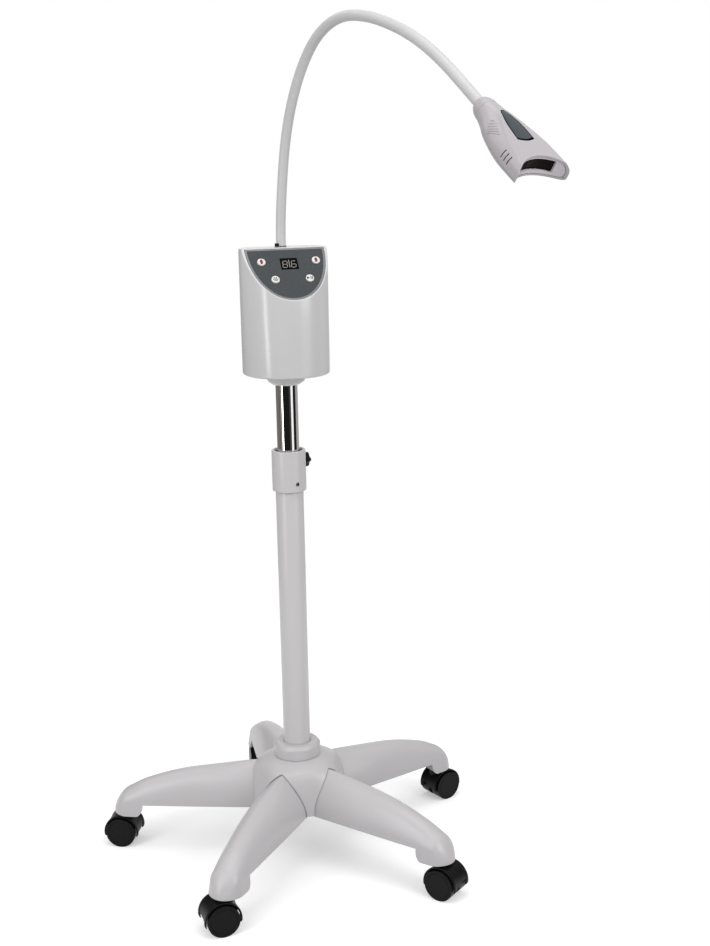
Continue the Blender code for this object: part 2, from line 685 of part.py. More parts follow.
def build_caster(index, root):
    """One hooded twin-wheel caster. Its frame stands on the swivel axis, and the wheels' on the axle."""
    swivel = new_frame("caster_%d_swivel" % (index + 1), root,
                       leg_place(index) @ shift(LEG_REACH, 0, 0) @
                       turn(CASTER_TURNS[index] - LEG_START_ANGLE - LEG_PITCH * index, "Z"))
    side = turn(math.pi / 2, "X")
    axle = shift(CASTER_TRAIL, 0, AXLE_HEIGHT)
    outline = []
    for i in range(FENDER_STEPS + 1):
        angle = FENDER_END + (math.pi - 2 * FENDER_END) * i / FENDER_STEPS
        outline.append((FENDER_OUTER * math.cos(angle), FENDER_OUTER * math.sin(angle)))
    hood = prism("caster_hood_%d" % (index + 1), outline, -HOOD_HALF_WIDTH, HOOD_HALF_WIDTH, swivel,
                 "black_plastic", axle @ side)
    post = turned("caster_post_%d" % index, [(0, STEM_TOP), (CASTER_STEM_RADIUS, STEM_TOP),
                                             (CASTER_STEM_RADIUS, CASTER_BOSS_TOP),
                                             (CASTER_BOSS_RADIUS, CASTER_BOSS_TOP),
                                             (CASTER_BOSS_RADIUS, AXLE_HEIGHT), (0, AXLE_HEIGHT)], swivel, None,
                  steps=SMALL_STEPS)
    combine(hood, post, "UNION")
    for name, low, high in (("near", WEB_HALF_WIDTH, HOOD_HALF_WIDTH + OVERRUN),
                            ("far", -HOOD_HALF_WIDTH - OVERRUN, -WEB_HALF_WIDTH)):
        space = cylinder("wheel_space_%s_%d" % (name, index), FENDER_INNER, low, high, swivel, None,
                         axle @ side, WHEEL_STEPS)
        combine(hood, space, "DIFFERENCE")
    bore = cylinder("axle_space_%d" % index, AXLE_RADIUS + RUN_GAP, -WHEEL_WIDTH, WHEEL_WIDTH, swivel, None,
                    axle @ side)
    combine(hood, bore, "DIFFERENCE")
    smooth(hood)
    spin = new_frame("caster_%d_axle" % (index + 1), swivel, axle @ side @ turn(math.pi / WHEEL_STEPS, "Z"))
    inner = WHEEL_INNER_FACE
    outer = inner + WHEEL_WIDTH
    rim = WHEEL_RADIUS - WHEEL_EDGE
    pin_end = -outer + WHEEL_WIDTH / 2
    pinned = [(0, outer), (rim, outer), (WHEEL_RADIUS, outer - WHEEL_EDGE), (WHEEL_RADIUS, inner),
              (AXLE_RADIUS, inner), (AXLE_RADIUS, pin_end), (0, pin_end)]
    turned("caster_wheel_%d_a" % (index + 1), pinned, spin, "black_plastic", steps=WHEEL_STEPS)
    hole = AXLE_RADIUS + SEAT_GAP
    depth = pin_end - SEAT_GAP
    bored = [(WHEEL_RADIUS, -inner), (WHEEL_RADIUS, -outer + WHEEL_EDGE), (rim, -outer), (0, -outer),
             (0, depth), (hole, depth), (hole, -inner)]
    turned("caster_wheel_%d_b" % (index + 1), bored, spin, "black_plastic", steps=WHEEL_STEPS)


# Column

def build_column(root):
    bolt_hole = BOLT_RADIUS + SEAT_GAP
    plug_top = TUBE_BOTTOM + TUBE_PLUG
    tube = turned("outer_tube", [(OUTER_TUBE_RADIUS, OUTER_TUBE_TOP), (OUTER_TUBE_RADIUS, TUBE_BOTTOM),
                                 (bolt_hole, TUBE_BOTTOM), (bolt_hole, plug_top), (OUTER_TUBE_BORE, plug_top),
                                 (OUTER_TUBE_BORE, OUTER_TUBE_TOP)], root, "column_white")
    collar_top = COLLAR_BOTTOM + COLLAR_HEIGHT
    turned("column_collar", [(TUBE_BORE, collar_top), (COLLAR_SHOULDER_RADIUS, collar_top),
                             (COLLAR_RADIUS, collar_top - COLLAR_STEP), (COLLAR_RADIUS, COLLAR_BOTTOM),
                             (TUBE_BORE, COLLAR_BOTTOM)], root, "base_white")
    shelf = OUTER_TUBE_TOP + SEAT_GAP
    rim = OUTER_TUBE_RADIUS
    sleeve = turned("clamp_sleeve", [(SLEEVE_RADIUS - SLEEVE_CHAMFER / 3, SLEEVE_TOP),
                                     (SLEEVE_RADIUS, SLEEVE_TOP - SLEEVE_CHAMFER / 3),
                                     (SLEEVE_RADIUS, SLEEVE_BOTTOM + SLEEVE_CHAMFER),
                                     (SLEEVE_RADIUS - SLEEVE_CHAMFER / 2, SLEEVE_BOTTOM),
                                     (TUBE_BORE, SLEEVE_BOTTOM), (TUBE_BORE, SLEEVE_TOP)], root, "column_white")
    flange_low = shelf
    bush = turned("guide_bush", [(BUSH_BORE, flange_low + BUSH_FLANGE), (rim - SEAT_GAP, flange_low + BUSH_FLANGE),
                                 (rim - SEAT_GAP, flange_low), (BUSH_OUTER, flange_low),
                                 (BUSH_OUTER, flange_low - BUSH_LENGTH), (BUSH_BORE, flange_low - BUSH_LENGTH)],
                  root, "black_plastic")
    stud_way = cylinder("stud_way", STUD_HOLE, BUSH_BORE / 2, SLEEVE_RADIUS + OVERRUN, root, None,
                        facing(0, 0, KNOB_HEIGHT, KNOB_ANGLE))
    for holed in (tube, sleeve, bush):
        combine(holed, stud_way, "DIFFERENCE")
    screw_way = cylinder("screw_way", SCREW_RADIUS + SEAT_GAP, TUBE_BORE / 2, SLEEVE_RADIUS + OVERRUN, root, None,
                         facing(0, 0, SCREW_HEIGHT, SCREW_ANGLE))
    combine(sleeve, screw_way, "DIFFERENCE")
    cylinder("sleeve_screw", SCREW_RADIUS, OUTER_TUBE_RADIUS + SEAT_GAP, SLEEVE_RADIUS + SCREW_PROUD, root,
             "steel", facing(0, 0, SCREW_HEIGHT, SCREW_ANGLE))
    knob_frame = new_frame("knob_axis", root, facing(0, 0, KNOB_HEIGHT, KNOB_ANGLE))
    outline = []
    count = KNOB_LOBES * 6
    for i in range(count):
        angle = 2 * math.pi * i / count
        radius = KNOB_RADIUS - KNOB_LOBE + KNOB_LOBE * math.cos(KNOB_LOBES * angle)
        outline.append((radius * math.cos(angle), radius * math.sin(angle)))
    low = KNOB_FACE + KNOB_NECK_LENGTH
    knob = prism("clamp_knob", outline, low, low + KNOB_THICKNESS, knob_frame, "black_plastic")
    middle = low + KNOB_THICKNESS / 2
    stud = turned("knob_stud", [(0, middle), (KNOB_NECK_RADIUS, middle), (KNOB_NECK_RADIUS, KNOB_FACE),
                                (STUD_RADIUS, KNOB_FACE), (STUD_RADIUS, INNER_TUBE_RADIUS + SEAT_GAP),
                                (0, INNER_TUBE_RADIUS + SEAT_GAP)], knob_frame, None, steps=SMALL_STEPS)
    combine(knob, stud, "UNION")
    inner_bore = INNER_TUBE_RADIUS - INNER_TUBE_WALL
    turned("inner_tube", [(INNER_TUBE_RADIUS, INNER_TUBE_TOP), (INNER_TUBE_RADIUS, INNER_TUBE_BOTTOM),
                          (inner_bore, INNER_TUBE_BOTTOM), (inner_bore, INNER_TUBE_TOP)], root, "chrome")


# Control box

def front_outline(inset, behind):
    """The curved front of the box in plan, closed by a straight line at its parting."""
    points = []
    for i in range(BOX_OUTLINE_STEPS + 1):
        angle = math.pi * i / BOX_OUTLINE_STEPS
        x = (BOX_HALF_WIDTH - inset) * power(math.cos(angle), 2 / BOX_FRONT_POWER)
        y = BOX_PARTING - (BOX_FRONT_DEPTH - inset) * power(math.sin(angle), 2 / BOX_FRONT_POWER)
        points.append((x, y))
    ends = [(-BOX_HALF_WIDTH + inset, BOX_PARTING + behind), (BOX_HALF_WIDTH - inset, BOX_PARTING + behind)]
    return points[1:-1] + ends


def back_outline(inset, behind):
    points = []
    for i in range(BOX_OUTLINE_STEPS + 1):
        angle = math.pi * i / BOX_OUTLINE_STEPS
        x = (BOX_HALF_WIDTH - inset) * power(math.cos(angle), 2 / BOX_BACK_POWER)
        curve = (BOX_BACK_CURVE_DEPTH - inset) * power(math.sin(angle), 2 / BOX_BACK_POWER)
        points.append((x, BOX_PARTING + min(curve, BOX_BACK_DEPTH - inset)))
    ends = [(-BOX_HALF_WIDTH + inset, BOX_PARTING - behind), (BOX_HALF_WIDTH - inset, BOX_PARTING - behind)]
    return points[1:-1] + ends


def panel_outline(inset, steps=PANEL_STEPS):
    """The half-oval of the panel, in the frame of the slanted face: x across, y up the slope."""
    points = []
    for i in range(steps + 1):
        angle = math.pi * i / steps
        x = (PANEL_HALF_WIDTH - inset) * power(math.cos(angle), 2 / PANEL_POWER)
        y = (PANEL_LENGTH - inset) * power(math.sin(angle), 2 / PANEL_POWER)
        points.append((x, -PANEL_TOP_INSET - max(y, inset)))
    return points


def rounded_prism(name, outline, low, high, parent, material):
    """An upright prism whose top and bottom edges are rounded, except along the parting."""
    obj = prism(name, outline, low, high, parent, material)
    shape = bmesh.new()
    shape.from_mesh(obj.data)
    half = (high - low) / 2
    straight = outline[-1][1]
    chosen = [e for e in shape.edges
              if all(abs(abs(v.co.z) - half) < MERGE for v in e.verts) and e.verts[0].co.z * e.verts[1].co.z > 0
              and len(e.link_faces) == 2 and abs(e.link_faces[0].normal.z - e.link_faces[1].normal.z) > 0.5
              and not all(abs(v.co.y - straight) < MERGE for v in e.verts)]
    bmesh.ops.bevel(shape, geom=chosen, offset=BOX_EDGE, segments=2, affect="EDGES", profile=0.5)
    shape.to_mesh(obj.data)
    shape.free()
    return obj


def key_places():
    return [("key_upper_left", KEY_SHIFT - UPPER_BUTTON_X, -UPPER_BUTTON_DROP),
            ("key_upper_right", KEY_SHIFT + UPPER_BUTTON_X, -UPPER_BUTTON_DROP),
            ("key_lower_left", KEY_SHIFT - LOWER_BUTTON_X, -LOWER_BUTTON_DROP),
            ("key_lower_right", KEY_SHIFT + LOWER_BUTTON_X, -LOWER_BUTTON_DROP)]


def display_block(name, grow, low, high, panel, material):
    half = DISPLAY_WIDTH / 2 + grow
    tall = DISPLAY_HEIGHT / 2 + grow
    return box(name, (KEY_SHIFT - half, -DISPLAY_DROP - tall, low),
               (KEY_SHIFT + half, -DISPLAY_DROP + tall, high), panel, material)


def build_box(root):
    box_frame = new_frame("box_frame", root, shift(0, 0, BOX_BOTTOM))
    slope = shift(0, PANEL_TOP_Y, BOX_HEIGHT) @ turn(math.pi / 2 - PANEL_SLANT, "X")
    panel = new_frame("panel_frame", box_frame, slope)
    far = BOX_HALF_WIDTH + OVERRUN
    pocket = PANEL_THICKNESS
    floor = pocket + SEAT_GAP

    front = rounded_prism("housing_front", front_outline(0, -SEAT_GAP / 2), 0, BOX_HEIGHT, box_frame,
                          "shell_white")
    combine(front, box("slant_space", (-far, -BOX_HEIGHT, 0), (far, BOX_HEIGHT, BOX_HEIGHT), panel, None),
            "DIFFERENCE")
    hollow = prism("front_hollow", front_outline(BOX_WALL, OVERRUN / 2), BOX_WALL, BOX_HEIGHT - BOX_WALL,
                   box_frame, None)
    combine(hollow, box("hollow_slant", (-far, -BOX_HEIGHT, -floor - BOX_WALL), (far, BOX_HEIGHT, BOX_HEIGHT),
                        panel, None), "DIFFERENCE")
    combine(front, hollow, "DIFFERENCE")
    board_top = -BOARD_DEPTH
    for i, (x, y) in enumerate([(sx * (BOARD_HALF_WIDTH - 2 * STANDOFF_RADIUS), -BOARD_TOP_DROP - drop)
                                for sx in (-1, 1) for drop in (2 * STANDOFF_RADIUS, BOARD_HEIGHT / 2)]):
        post = cylinder("board_post_%d" % i, STANDOFF_RADIUS, board_top + SEAT_GAP, -floor - BOX_WALL / 2, panel,
                        None, shift(x, y, 0))
        combine(front, post, "UNION")
    combine(front, prism("panel_pocket", panel_outline(-SEAT_GAP), -floor, OVERRUN, panel, None), "DIFFERENCE")
    combine(front, display_block("display_way", SEAT_GAP, -BOARD_DEPTH, OVERRUN, panel, None), "DIFFERENCE")
    for name, x, y in key_places():
        combine(front, cylinder(name + "_way", BUTTON_STEM_RADIUS + RUN_GAP, -BOARD_DEPTH + SEAT_GAP, OVERRUN,
                                panel, None, shift(x, y, 0)), "DIFFERENCE")

    back = rounded_prism("housing_back", back_outline(0, -SEAT_GAP / 2), 0, BOX_HEIGHT, box_frame, "shell_white")
    combine(back, prism("back_hollow", back_outline(BOX_WALL, OVERRUN / 2), BOX_WALL, BOX_HEIGHT - BOX_WALL,
                        box_frame, None), "DIFFERENCE")
    combine(back, cylinder("hose_way", HOSE_RADIUS + HOSE_HOLE_GAP, BOX_HEIGHT - OVERRUN, BOX_HEIGHT + OVERRUN,
                           box_frame, None, shift(HOSE_ROOT_X, HOSE_ROOT_Y, 0), ROUND_STEPS), "DIFFERENCE")
    socket_way = cylinder("socket_way", SOCKET_OUTER + SEAT_GAP, -OVERRUN, BOX_WALL + OVERRUN / 2, box_frame,
                          None, steps=ROUND_STEPS)
    for shell in (front, back):
        combine(shell, socket_way, "DIFFERENCE")
    inlet_half = INLET_WIDTH / 2 - INLET_LIP
    inlet_tall = INLET_HEIGHT / 2 - INLET_LIP
    hole_half = inlet_half + SEAT_GAP
    hole_tall = inlet_tall + SEAT_GAP
    face = BOX_BACK_FACE
    combine(back, box("inlet_way", (INLET_X - hole_half, face - OVERRUN, INLET_Z - hole_tall),
                      (INLET_X + hole_half, face + OVERRUN, INLET_Z + hole_tall), box_frame, None), "DIFFERENCE")
    rocker_half = ROCKER_WIDTH / 2 + RUN_GAP
    rocker_tall = ROCKER_RADIUS + RUN_GAP
    combine(back, box("rocker_way", (SWITCH_X - rocker_half, face - OVERRUN, INLET_Z - rocker_tall),
                      (SWITCH_X + rocker_half, face + OVERRUN, INLET_Z + rocker_tall), box_frame, None),
            "DIFFERENCE")
    smooth(front)
    smooth(back)

    lip = SEAT_GAP
    flange_top = BOX_BOTTOM - lip
    turned("box_flange", [(0, SOCKET_TOP), (SOCKET_OUTER, SOCKET_TOP), (SOCKET_OUTER, flange_top),
                          *[(FLANGE_RADIUS * out, flange_top - FLANGE_HEIGHT * down)
                            for out, down in FLANGE_SHARES],
                          (FLANGE_FOOT_RADIUS, flange_top - FLANGE_HEIGHT),
                          (INNER_TUBE_RADIUS + SEAT_GAP, flange_top - FLANGE_HEIGHT),
                          (INNER_TUBE_RADIUS + SEAT_GAP, INNER_TUBE_TOP + SEAT_GAP),
                          (0, INNER_TUBE_TOP + SEAT_GAP)], root, "shell_white")

    plate = prism("control_panel", panel_outline(0), -pocket, 0, panel, "panel_border")
    combine(plate, prism("film_pocket", panel_outline(PANEL_BORDER - SEAT_GAP), -FILM_THICKNESS, OVERRUN, panel,
                         None), "DIFFERENCE")
    film_low = -FILM_THICKNESS + SEAT_GAP / 2
    film = prism("panel_film", panel_outline(PANEL_BORDER), film_low, film_low + FILM_THICKNESS, panel,
                 "panel_film")
    opening = display_block("display_space", SEAT_GAP, -OVERRUN, OVERRUN, panel, None)
    for sheet in (plate, film):
        combine(sheet, opening, "DIFFERENCE")
    display_block("display_window", 0, board_top + SEAT_GAP, FILM_THICKNESS / 2, panel, "dark_glass")
    board = box("circuit_board", (-BOARD_HALF_WIDTH, -BOARD_TOP_DROP - BOARD_HEIGHT, board_top - BOARD_THICKNESS),
                (BOARD_HALF_WIDTH, -BOARD_TOP_DROP, board_top), panel, "board_green")
    stem_low = board_top + SEAT_GAP + BUTTON_TRAVEL + RUN_GAP
    for name, x, y in key_places():
        key_hole = cylinder(name + "_hole", BUTTON_RADIUS + RUN_GAP, -OVERRUN, OVERRUN, panel, None,
                            shift(x, y, 0))
        for sheet in (plate, film):
            combine(sheet, key_hole, "DIFFERENCE")
        cap_low = BUTTON_PROUD - BUTTON_CAP
        turned(name, [(0, BUTTON_PROUD), (BUTTON_RADIUS * BUTTON_CROWN_SHARE, BUTTON_PROUD),
                      (BUTTON_RADIUS, BUTTON_PROUD - BUTTON_CAP / 4), (BUTTON_RADIUS, cap_low),
                      (BUTTON_STEM_RADIUS, cap_low), (BUTTON_STEM_RADIUS, stem_low), (0, stem_low)], panel,
               "button_white", shift(x, y, 0), SMALL_STEPS)
        combine(board, cylinder(name + "_switch", SWITCH_RADIUS, board_top - BOARD_THICKNESS / 2,
                                stem_low - BUTTON_TRAVEL - SEAT_GAP, panel, None, shift(x, y, 0)), "UNION")

    inner = face - BOX_WALL
    box("power_supply", (-SUPPLY_WIDTH / 2, inner - SEAT_GAP - SUPPLY_DEPTH, SUPPLY_BASE),
        (SUPPLY_WIDTH / 2, inner - SEAT_GAP, SUPPLY_TOP), box_frame, "black_plastic")
    inlet = box("power_inlet", (INLET_X - INLET_WIDTH / 2, face + SEAT_GAP, INLET_Z - INLET_HEIGHT / 2),
                (INLET_X + INLET_WIDTH / 2, face + SEAT_GAP + INLET_LIP, INLET_Z + INLET_HEIGHT / 2), box_frame,
                "black_plastic")
    combine(inlet, box("inlet_body", (INLET_X - inlet_half, face - INLET_DEPTH, INLET_Z - inlet_tall),
                       (INLET_X + inlet_half, face + INLET_LIP / 2 + SEAT_GAP, INLET_Z + inlet_tall), box_frame,
                       None), "UNION")
    combine(inlet, box("plug_space", (INLET_X - inlet_half + INLET_WALL, face - INLET_DEPTH + INLET_BACK,
                                      INLET_Z - inlet_tall + INLET_WALL),
                       (INLET_X + inlet_half - INLET_WALL, face + OVERRUN, INLET_Z + inlet_tall - INLET_WALL),
                       box_frame, None), "DIFFERENCE")

    rocker_frame = new_frame("rocker_axis", box_frame, shift(SWITCH_X, face - ROCKER_SINK, INLET_Z) @
                             turn(math.pi / 2, "Y") @ turn(-ROCKER_TILT, "Z"))
    outline = []
    for i in range(ROCKER_STEPS + 1):
        angle = math.pi * i / ROCKER_STEPS
        outline.append((ROCKER_RADIUS * math.cos(angle), ROCKER_RADIUS * -math.sin(angle)))
    wing = ROCKER_SINK + ROCKER_FACE * math.tan(ROCKER_TILT)
    outline += [(-ROCKER_FACE, wing), (0, ROCKER_SINK), (ROCKER_FACE, wing)]
    prism("power_switch", outline, -ROCKER_WIDTH / 2, ROCKER_WIDTH / 2, rocker_frame, "black_plastic")

    top_inside = BOX_TOP - BOX_WALL - SEAT_GAP
    turned("hose_gland", [(HOSE_RADIUS + SEAT_GAP, top_inside), (GLAND_RADIUS, top_inside),
                          (GLAND_RADIUS, top_inside - GLAND_LENGTH),
                          (HOSE_RADIUS + SEAT_GAP, top_inside - GLAND_LENGTH)], root, "black_plastic",
           shift(HOSE_ROOT_X, HOSE_ROOT_Y, 0))


# Gooseneck

def hose_path():
    """Points and headings along the arm, in its own upright plane."""
    x, z, heading = 0.0, BOX_TOP, math.pi / 2
    path = [(x, z, heading)]
    step = HOSE_LENGTH / len(HOSE_TURNS) / HOSE_STEPS
    for bend in HOSE_TURNS:
        for _ in range(HOSE_STEPS):
            heading -= bend / HOSE_STEPS / 2
            x += step * math.cos(heading)
            z += step * math.sin(heading)
            heading -= bend / HOSE_STEPS / 2
            path.append((x, z, heading))
    return path


def ball(name, radius, parent):
    mesh = bpy.data.meshes.new(name)
    shape = bmesh.new()
    bmesh.ops.create_uvsphere(shape, u_segments=BALL_STEPS, v_segments=BALL_STEPS // 2, radius=radius)
    shape.to_mesh(mesh)
    shape.free()
    return piece_from_mesh(name, mesh, parent, None)


def head_place(path):
    """The end of the arm, from which the head points a little sideways."""
    x, z, heading = path[-1]
    return shift(x, 0, z) @ turn(-heading, "Y") @ shift(HOSE_NOSE, 0, 0) @ turn(HEAD_YAW, "Z")


def build_hose(root):
    """Six stretches of the arm: each starts in a ball and ends in a cup for the next one's."""
    arm = new_frame("arm_plane", root, shift(HOSE_ROOT_X, HOSE_ROOT_Y, 0) @ turn(HOSE_AZIMUTH, "Z"))
    path = hose_path()
    span = len(HOSE_TURNS) * HOSE_STEPS // HOSE_LINKS
    for index in range(HOSE_LINKS):
        x, z, heading = path[index * span]
        place = shift(x, 0, z) @ turn(-heading, "Y")
        frame = new_frame("hose_joint_%d" % (index + 1), arm, place)
        home = place.inverted()
        points = [home @ Vector((px, 0, pz)) for px, pz, _ in path[index * span:(index + 1) * span + 1]]
        joint = points[-1]
        last = index == HOSE_LINKS - 1
        if index == 0:
            points.insert(0, Vector((-HOSE_TAIL, 0, 0)))
        if last:
            points += [home @ head_place(path) @ Vector((along, 0, 0)) for along in (0, NECK_BORE_DEPTH)]
        name = "gooseneck_link_%d" % (index + 1)
        data = bpy.data.curves.new(name + "_line", "CURVE")
        data.dimensions = "3D"
        data.bevel_depth = HOSE_RADIUS
        data.bevel_resolution = 4
        data.use_fill_caps = True
        line = data.splines.new("POLY")
        line.points.add(len(points) - 1)
        for point, place in zip(line.points, points):
            point.co = (*place, 1)
        wire = bpy.data.objects.new(name + "_line", data)
        PARTS.objects.link(wire)
        link = curve_as_mesh(wire, name, frame, "hose_grey", Matrix.Identity(4))
        if index > 0:
            combine(link, ball(name + "_ball", HOSE_RADIUS - JOINT_BALL_GAP, frame), "UNION")
        if not last:
            cup = ball(name + "_cup", HOSE_RADIUS + JOINT_CUP_GAP, frame)
            cup.location = joint
            combine(link, cup, "DIFFERENCE")
        smooth(link)
    return new_frame("head_frame", arm, head_place(path))


# Lamp head

def side_fall(part, hollow):
    """How far the head's side still stands, from its ridge (1) down to its widest line (0)."""
    full = math.sqrt(1 - part ** HEAD_ROUND_POWER)
    scooped = 1 - (HEAD_HOLLOW_SHARE * (1 - (1 - part) ** HEAD_HOLLOW_POWER)
                   + (1 - HEAD_HOLLOW_SHARE) * part ** HEAD_EDGE_POWER)
    return full + (scooped - full) * hollow


def head_ring(share, inset, steps=HEAD_SECTION_STEPS, extra=0.0):
    """The head's section at a share of its length: crown, two ridges, scooped sides and rounded belly."""
    columns = range(1, len(HEAD_SHARES[0]))
    values = [between([(row[0], row[k]) for row in HEAD_SHARES], share) for k in columns]
    half, top, belly = HEAD_HALF_WIDTH * values[0], HEAD_TOP * values[1], HEAD_BELLY * values[5]
    ridge, ridge_top = half * values[2], top * values[3]
    shape = [(ridge + (half - ridge) * k / steps, ridge_top * side_fall(k / steps, values[4]))
             for k in range(steps, 0, -1)]
    shape += [(ridge * k / steps, ridge_top + (top - ridge_top) * (1 - (k / steps) ** 2))
              for k in range(steps, -1, -2)]
    upper = shape + [(-y, z) for y, z in shape[-2::-1]]
    count = 2 * steps + 2
    lower = [(half * power(math.cos(math.pi * i / count), 2 / values[6]),
              -belly * power(math.sin(math.pi * i / count), 2 / values[6])) for i in range(count - 1, 0, -1)]
    x = NECK_LENGTH + SEAT_GAP + (HEAD_LENGTH - SEAT_GAP) * share + extra
    narrow, flat_top, flat_belly = (1 - inset / half), (1 - inset / top), (1 - inset / belly)
    ring = [(x, y * narrow, z * flat_top) for y, z in upper]
    return ring + [(x, y * narrow, z * flat_belly) for y, z in lower]


def head_body(name, inset, first, head, material, from_share=0.0, beyond=0.0):
    """The head's outer form or a smaller one inside it, as a closed body."""
    shares = [row[0] for row in HEAD_SHARES if row[0] > from_share]
    rings = [head_ring(from_share, inset, extra=first)] + [head_ring(share, inset) for share in shares]
    if beyond:
        rings.append(head_ring(1.0, inset, extra=beyond))
    return loft(name, rings, head, material)


def mouth_space(name, grow, head):
    """The round hollow in the front of the head that takes the lips."""
    tall = HEAD_BELLY + OVERRUN
    return cylinder(name, MOUTH_RADIUS + grow, -tall, tall, head, None, shift(MOUTH_CENTRE, 0, 0), 48)


def window_outline(grow):
    """The tapered window in plan, from its narrow tip to its curved wide end."""
    tip = WINDOW_TIP_HALF_WIDTH + grow
    end = WINDOW_END_HALF_WIDTH + grow
    start, finish = WINDOW_START - grow, WINDOW_END + grow
    middle = (WINDOW_START + WINDOW_END) / 2
    swell = (tip + end + WINDOW_END_BULGE) / 2
    blunt = tip * WINDOW_TIP_SHARE
    points = [(start, -blunt), (start, blunt), (WINDOW_START + tip, tip), (middle, swell), (finish, end)]
    points += [(finish + WINDOW_END_BULGE * out, end * across) for across, out in WINDOW_BULGE_SHARES]
    points += [(finish, -end), (middle, -swell), (WINDOW_START + tip, -tip)]
    return points


def build_head(head):
    cuts_low = -HEAD_BELLY - OVERRUN
    bore = HOSE_RADIUS + SEAT_GAP
    collar = turned("neck_collar", [(bore, 0), (NECK_START_RADIUS, 0),
                                    *[(NECK_END_RADIUS * out, -NECK_LENGTH * down) for out, down in NECK_SHARES],
                                    (NECK_END_RADIUS, -NECK_LENGTH), (0, -NECK_LENGTH),
                                    (0, -NECK_BORE_DEPTH - SEAT_GAP), (bore, -NECK_BORE_DEPTH - SEAT_GAP)], head,
                    "shell_white", turn(-math.pi / 2, "Y"))
    smooth(collar)

    first_cut = HEAD_WALL
    hollow = head_body("head_hollow", HEAD_WALL, first_cut, head, None, beyond=OVERRUN)
    mouth = mouth_space("mouth_space", 0, head)
    wide = HEAD_HALF_WIDTH + OVERRUN
    long = HEAD_END + OVERRUN
    upper = head_body("head_upper_shell", 0, 0, head, "shell_white")
    lower = head_body("head_lower_shell", 0, 0, head, "shell_white")
    for shell in (upper, lower):
        combine(shell, hollow, "DIFFERENCE")
        combine(shell, mouth, "DIFFERENCE")
    combine(upper, box("below_split", (-OVERRUN, -wide, cuts_low), (long, wide, HEAD_SPLIT + SEAT_GAP / 2), head,
                       None), "DIFFERENCE")
    combine(lower, box("above_split", (-OVERRUN, -wide, HEAD_SPLIT - SEAT_GAP / 2), (long, wide, -cuts_low), head,
                       None), "DIFFERENCE")
    combine(upper, prism("window_way", window_outline(SEAT_GAP), 0, HEAD_TOP + OVERRUN, head, None), "DIFFERENCE")
    window = head_body("head_window", 0, 0, head, "dark_glass")
    combine(window, prism("window_form", window_outline(0), 0, HEAD_TOP + OVERRUN, head, None), "INTERSECT")
    combine(window, head_body("window_back", WINDOW_THICKNESS, WINDOW_THICKNESS, head, None), "DIFFERENCE")
    for index in range(VENT_COUNT):
        x = VENT_START + VENT_PITCH * index
        vent = box("vent_%d" % index, (x, -wide, VENT_RISE - VENT_HALF_LENGTH),
                   (x + VENT_WIDTH, wide, VENT_RISE + VENT_HALF_LENGTH), head, None)
        combine(upper, vent, "DIFFERENCE")

    start = (MOUTH_FRAME_START - NECK_LENGTH) / HEAD_LENGTH
    frame = head_body("mouth_frame", HEAD_WALL + SEAT_GAP, 0, head, "shell_white", from_share=start)
    combine(frame, mouth_space("frame_space", MOUTH_FRAME_SET_BACK, head), "DIFFERENCE")
    frame_back = MOUTH_FRAME_SET_BACK + MOUTH_FRAME_WALL
    combine(frame, mouth_space("frame_back", frame_back, head), "INTERSECT")
    combine(frame, box("aperture", (0, -APERTURE_HALF_WIDTH, -APERTURE_HALF_HEIGHT),
                       (long, APERTURE_HALF_WIDTH, APERTURE_HALF_HEIGHT), head, None), "DIFFERENCE")
    margin = FILTER_MARGIN
    filter_front = frame_back + SEAT_GAP
    filter_back = filter_front + FILTER_THICKNESS
    lens = box("light_filter", (MOUTH_FRAME_START, -APERTURE_HALF_WIDTH - margin, -APERTURE_HALF_HEIGHT - margin),
               (HEAD_END, APERTURE_HALF_WIDTH + margin, APERTURE_HALF_HEIGHT + margin), head, "amber_filter")
    combine(lens, mouth_space("filter_front", filter_front, head), "DIFFERENCE")
    combine(lens, mouth_space("filter_back", filter_back, head), "INTERSECT")
    led_front = HEAD_END - MOUTH_RECESS - filter_back - SEAT_GAP
    box("led_module", (led_front - LED_LENGTH, -LED_HALF_WIDTH, -LED_HALF_HEIGHT),
        (led_front, LED_HALF_WIDTH, LED_HALF_HEIGHT), head, "cast_metal")
    for piece in (upper, lower, window, frame, lens):
        smooth(piece)


def centre_over_origin(root):
    """Move the whole lamp so that its overall box stands centred over the origin."""
    bpy.context.view_layer.update()
    graph = bpy.context.evaluated_depsgraph_get()
    low = [math.inf, math.inf]
    high = [-math.inf, -math.inf]
    for obj in PARTS.objects:
        if obj.type != "MESH":
            continue
        mesh = obj.evaluated_get(graph).to_mesh()
        for vertex in mesh.vertices:
            point = obj.matrix_world @ vertex.co
            for k in (0, 1):
                low[k] = min(low[k], point[k])
                high[k] = max(high[k], point[k])
        obj.evaluated_get(graph).to_mesh_clear()
    root.location = (-(low[0] + high[0]) / 2, -(low[1] + high[1]) / 2, 0)
    bpy.context.view_layer.update()


def build_lamp():
    root = new_frame("lamp")
    build_star(root)
    for index in range(LEG_COUNT):
        leg_cover(index, root)
        build_caster(index, root)
    build_hub_cover(root)
    build_column(root)
    build_box(root)
    head = build_hose(root)
    build_head(head)
    centre_over_origin(root)
    return root


LAMP = build_lamp()
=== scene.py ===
import json
import math

import bmesh
import bpy
from mathutils import Matrix, Vector


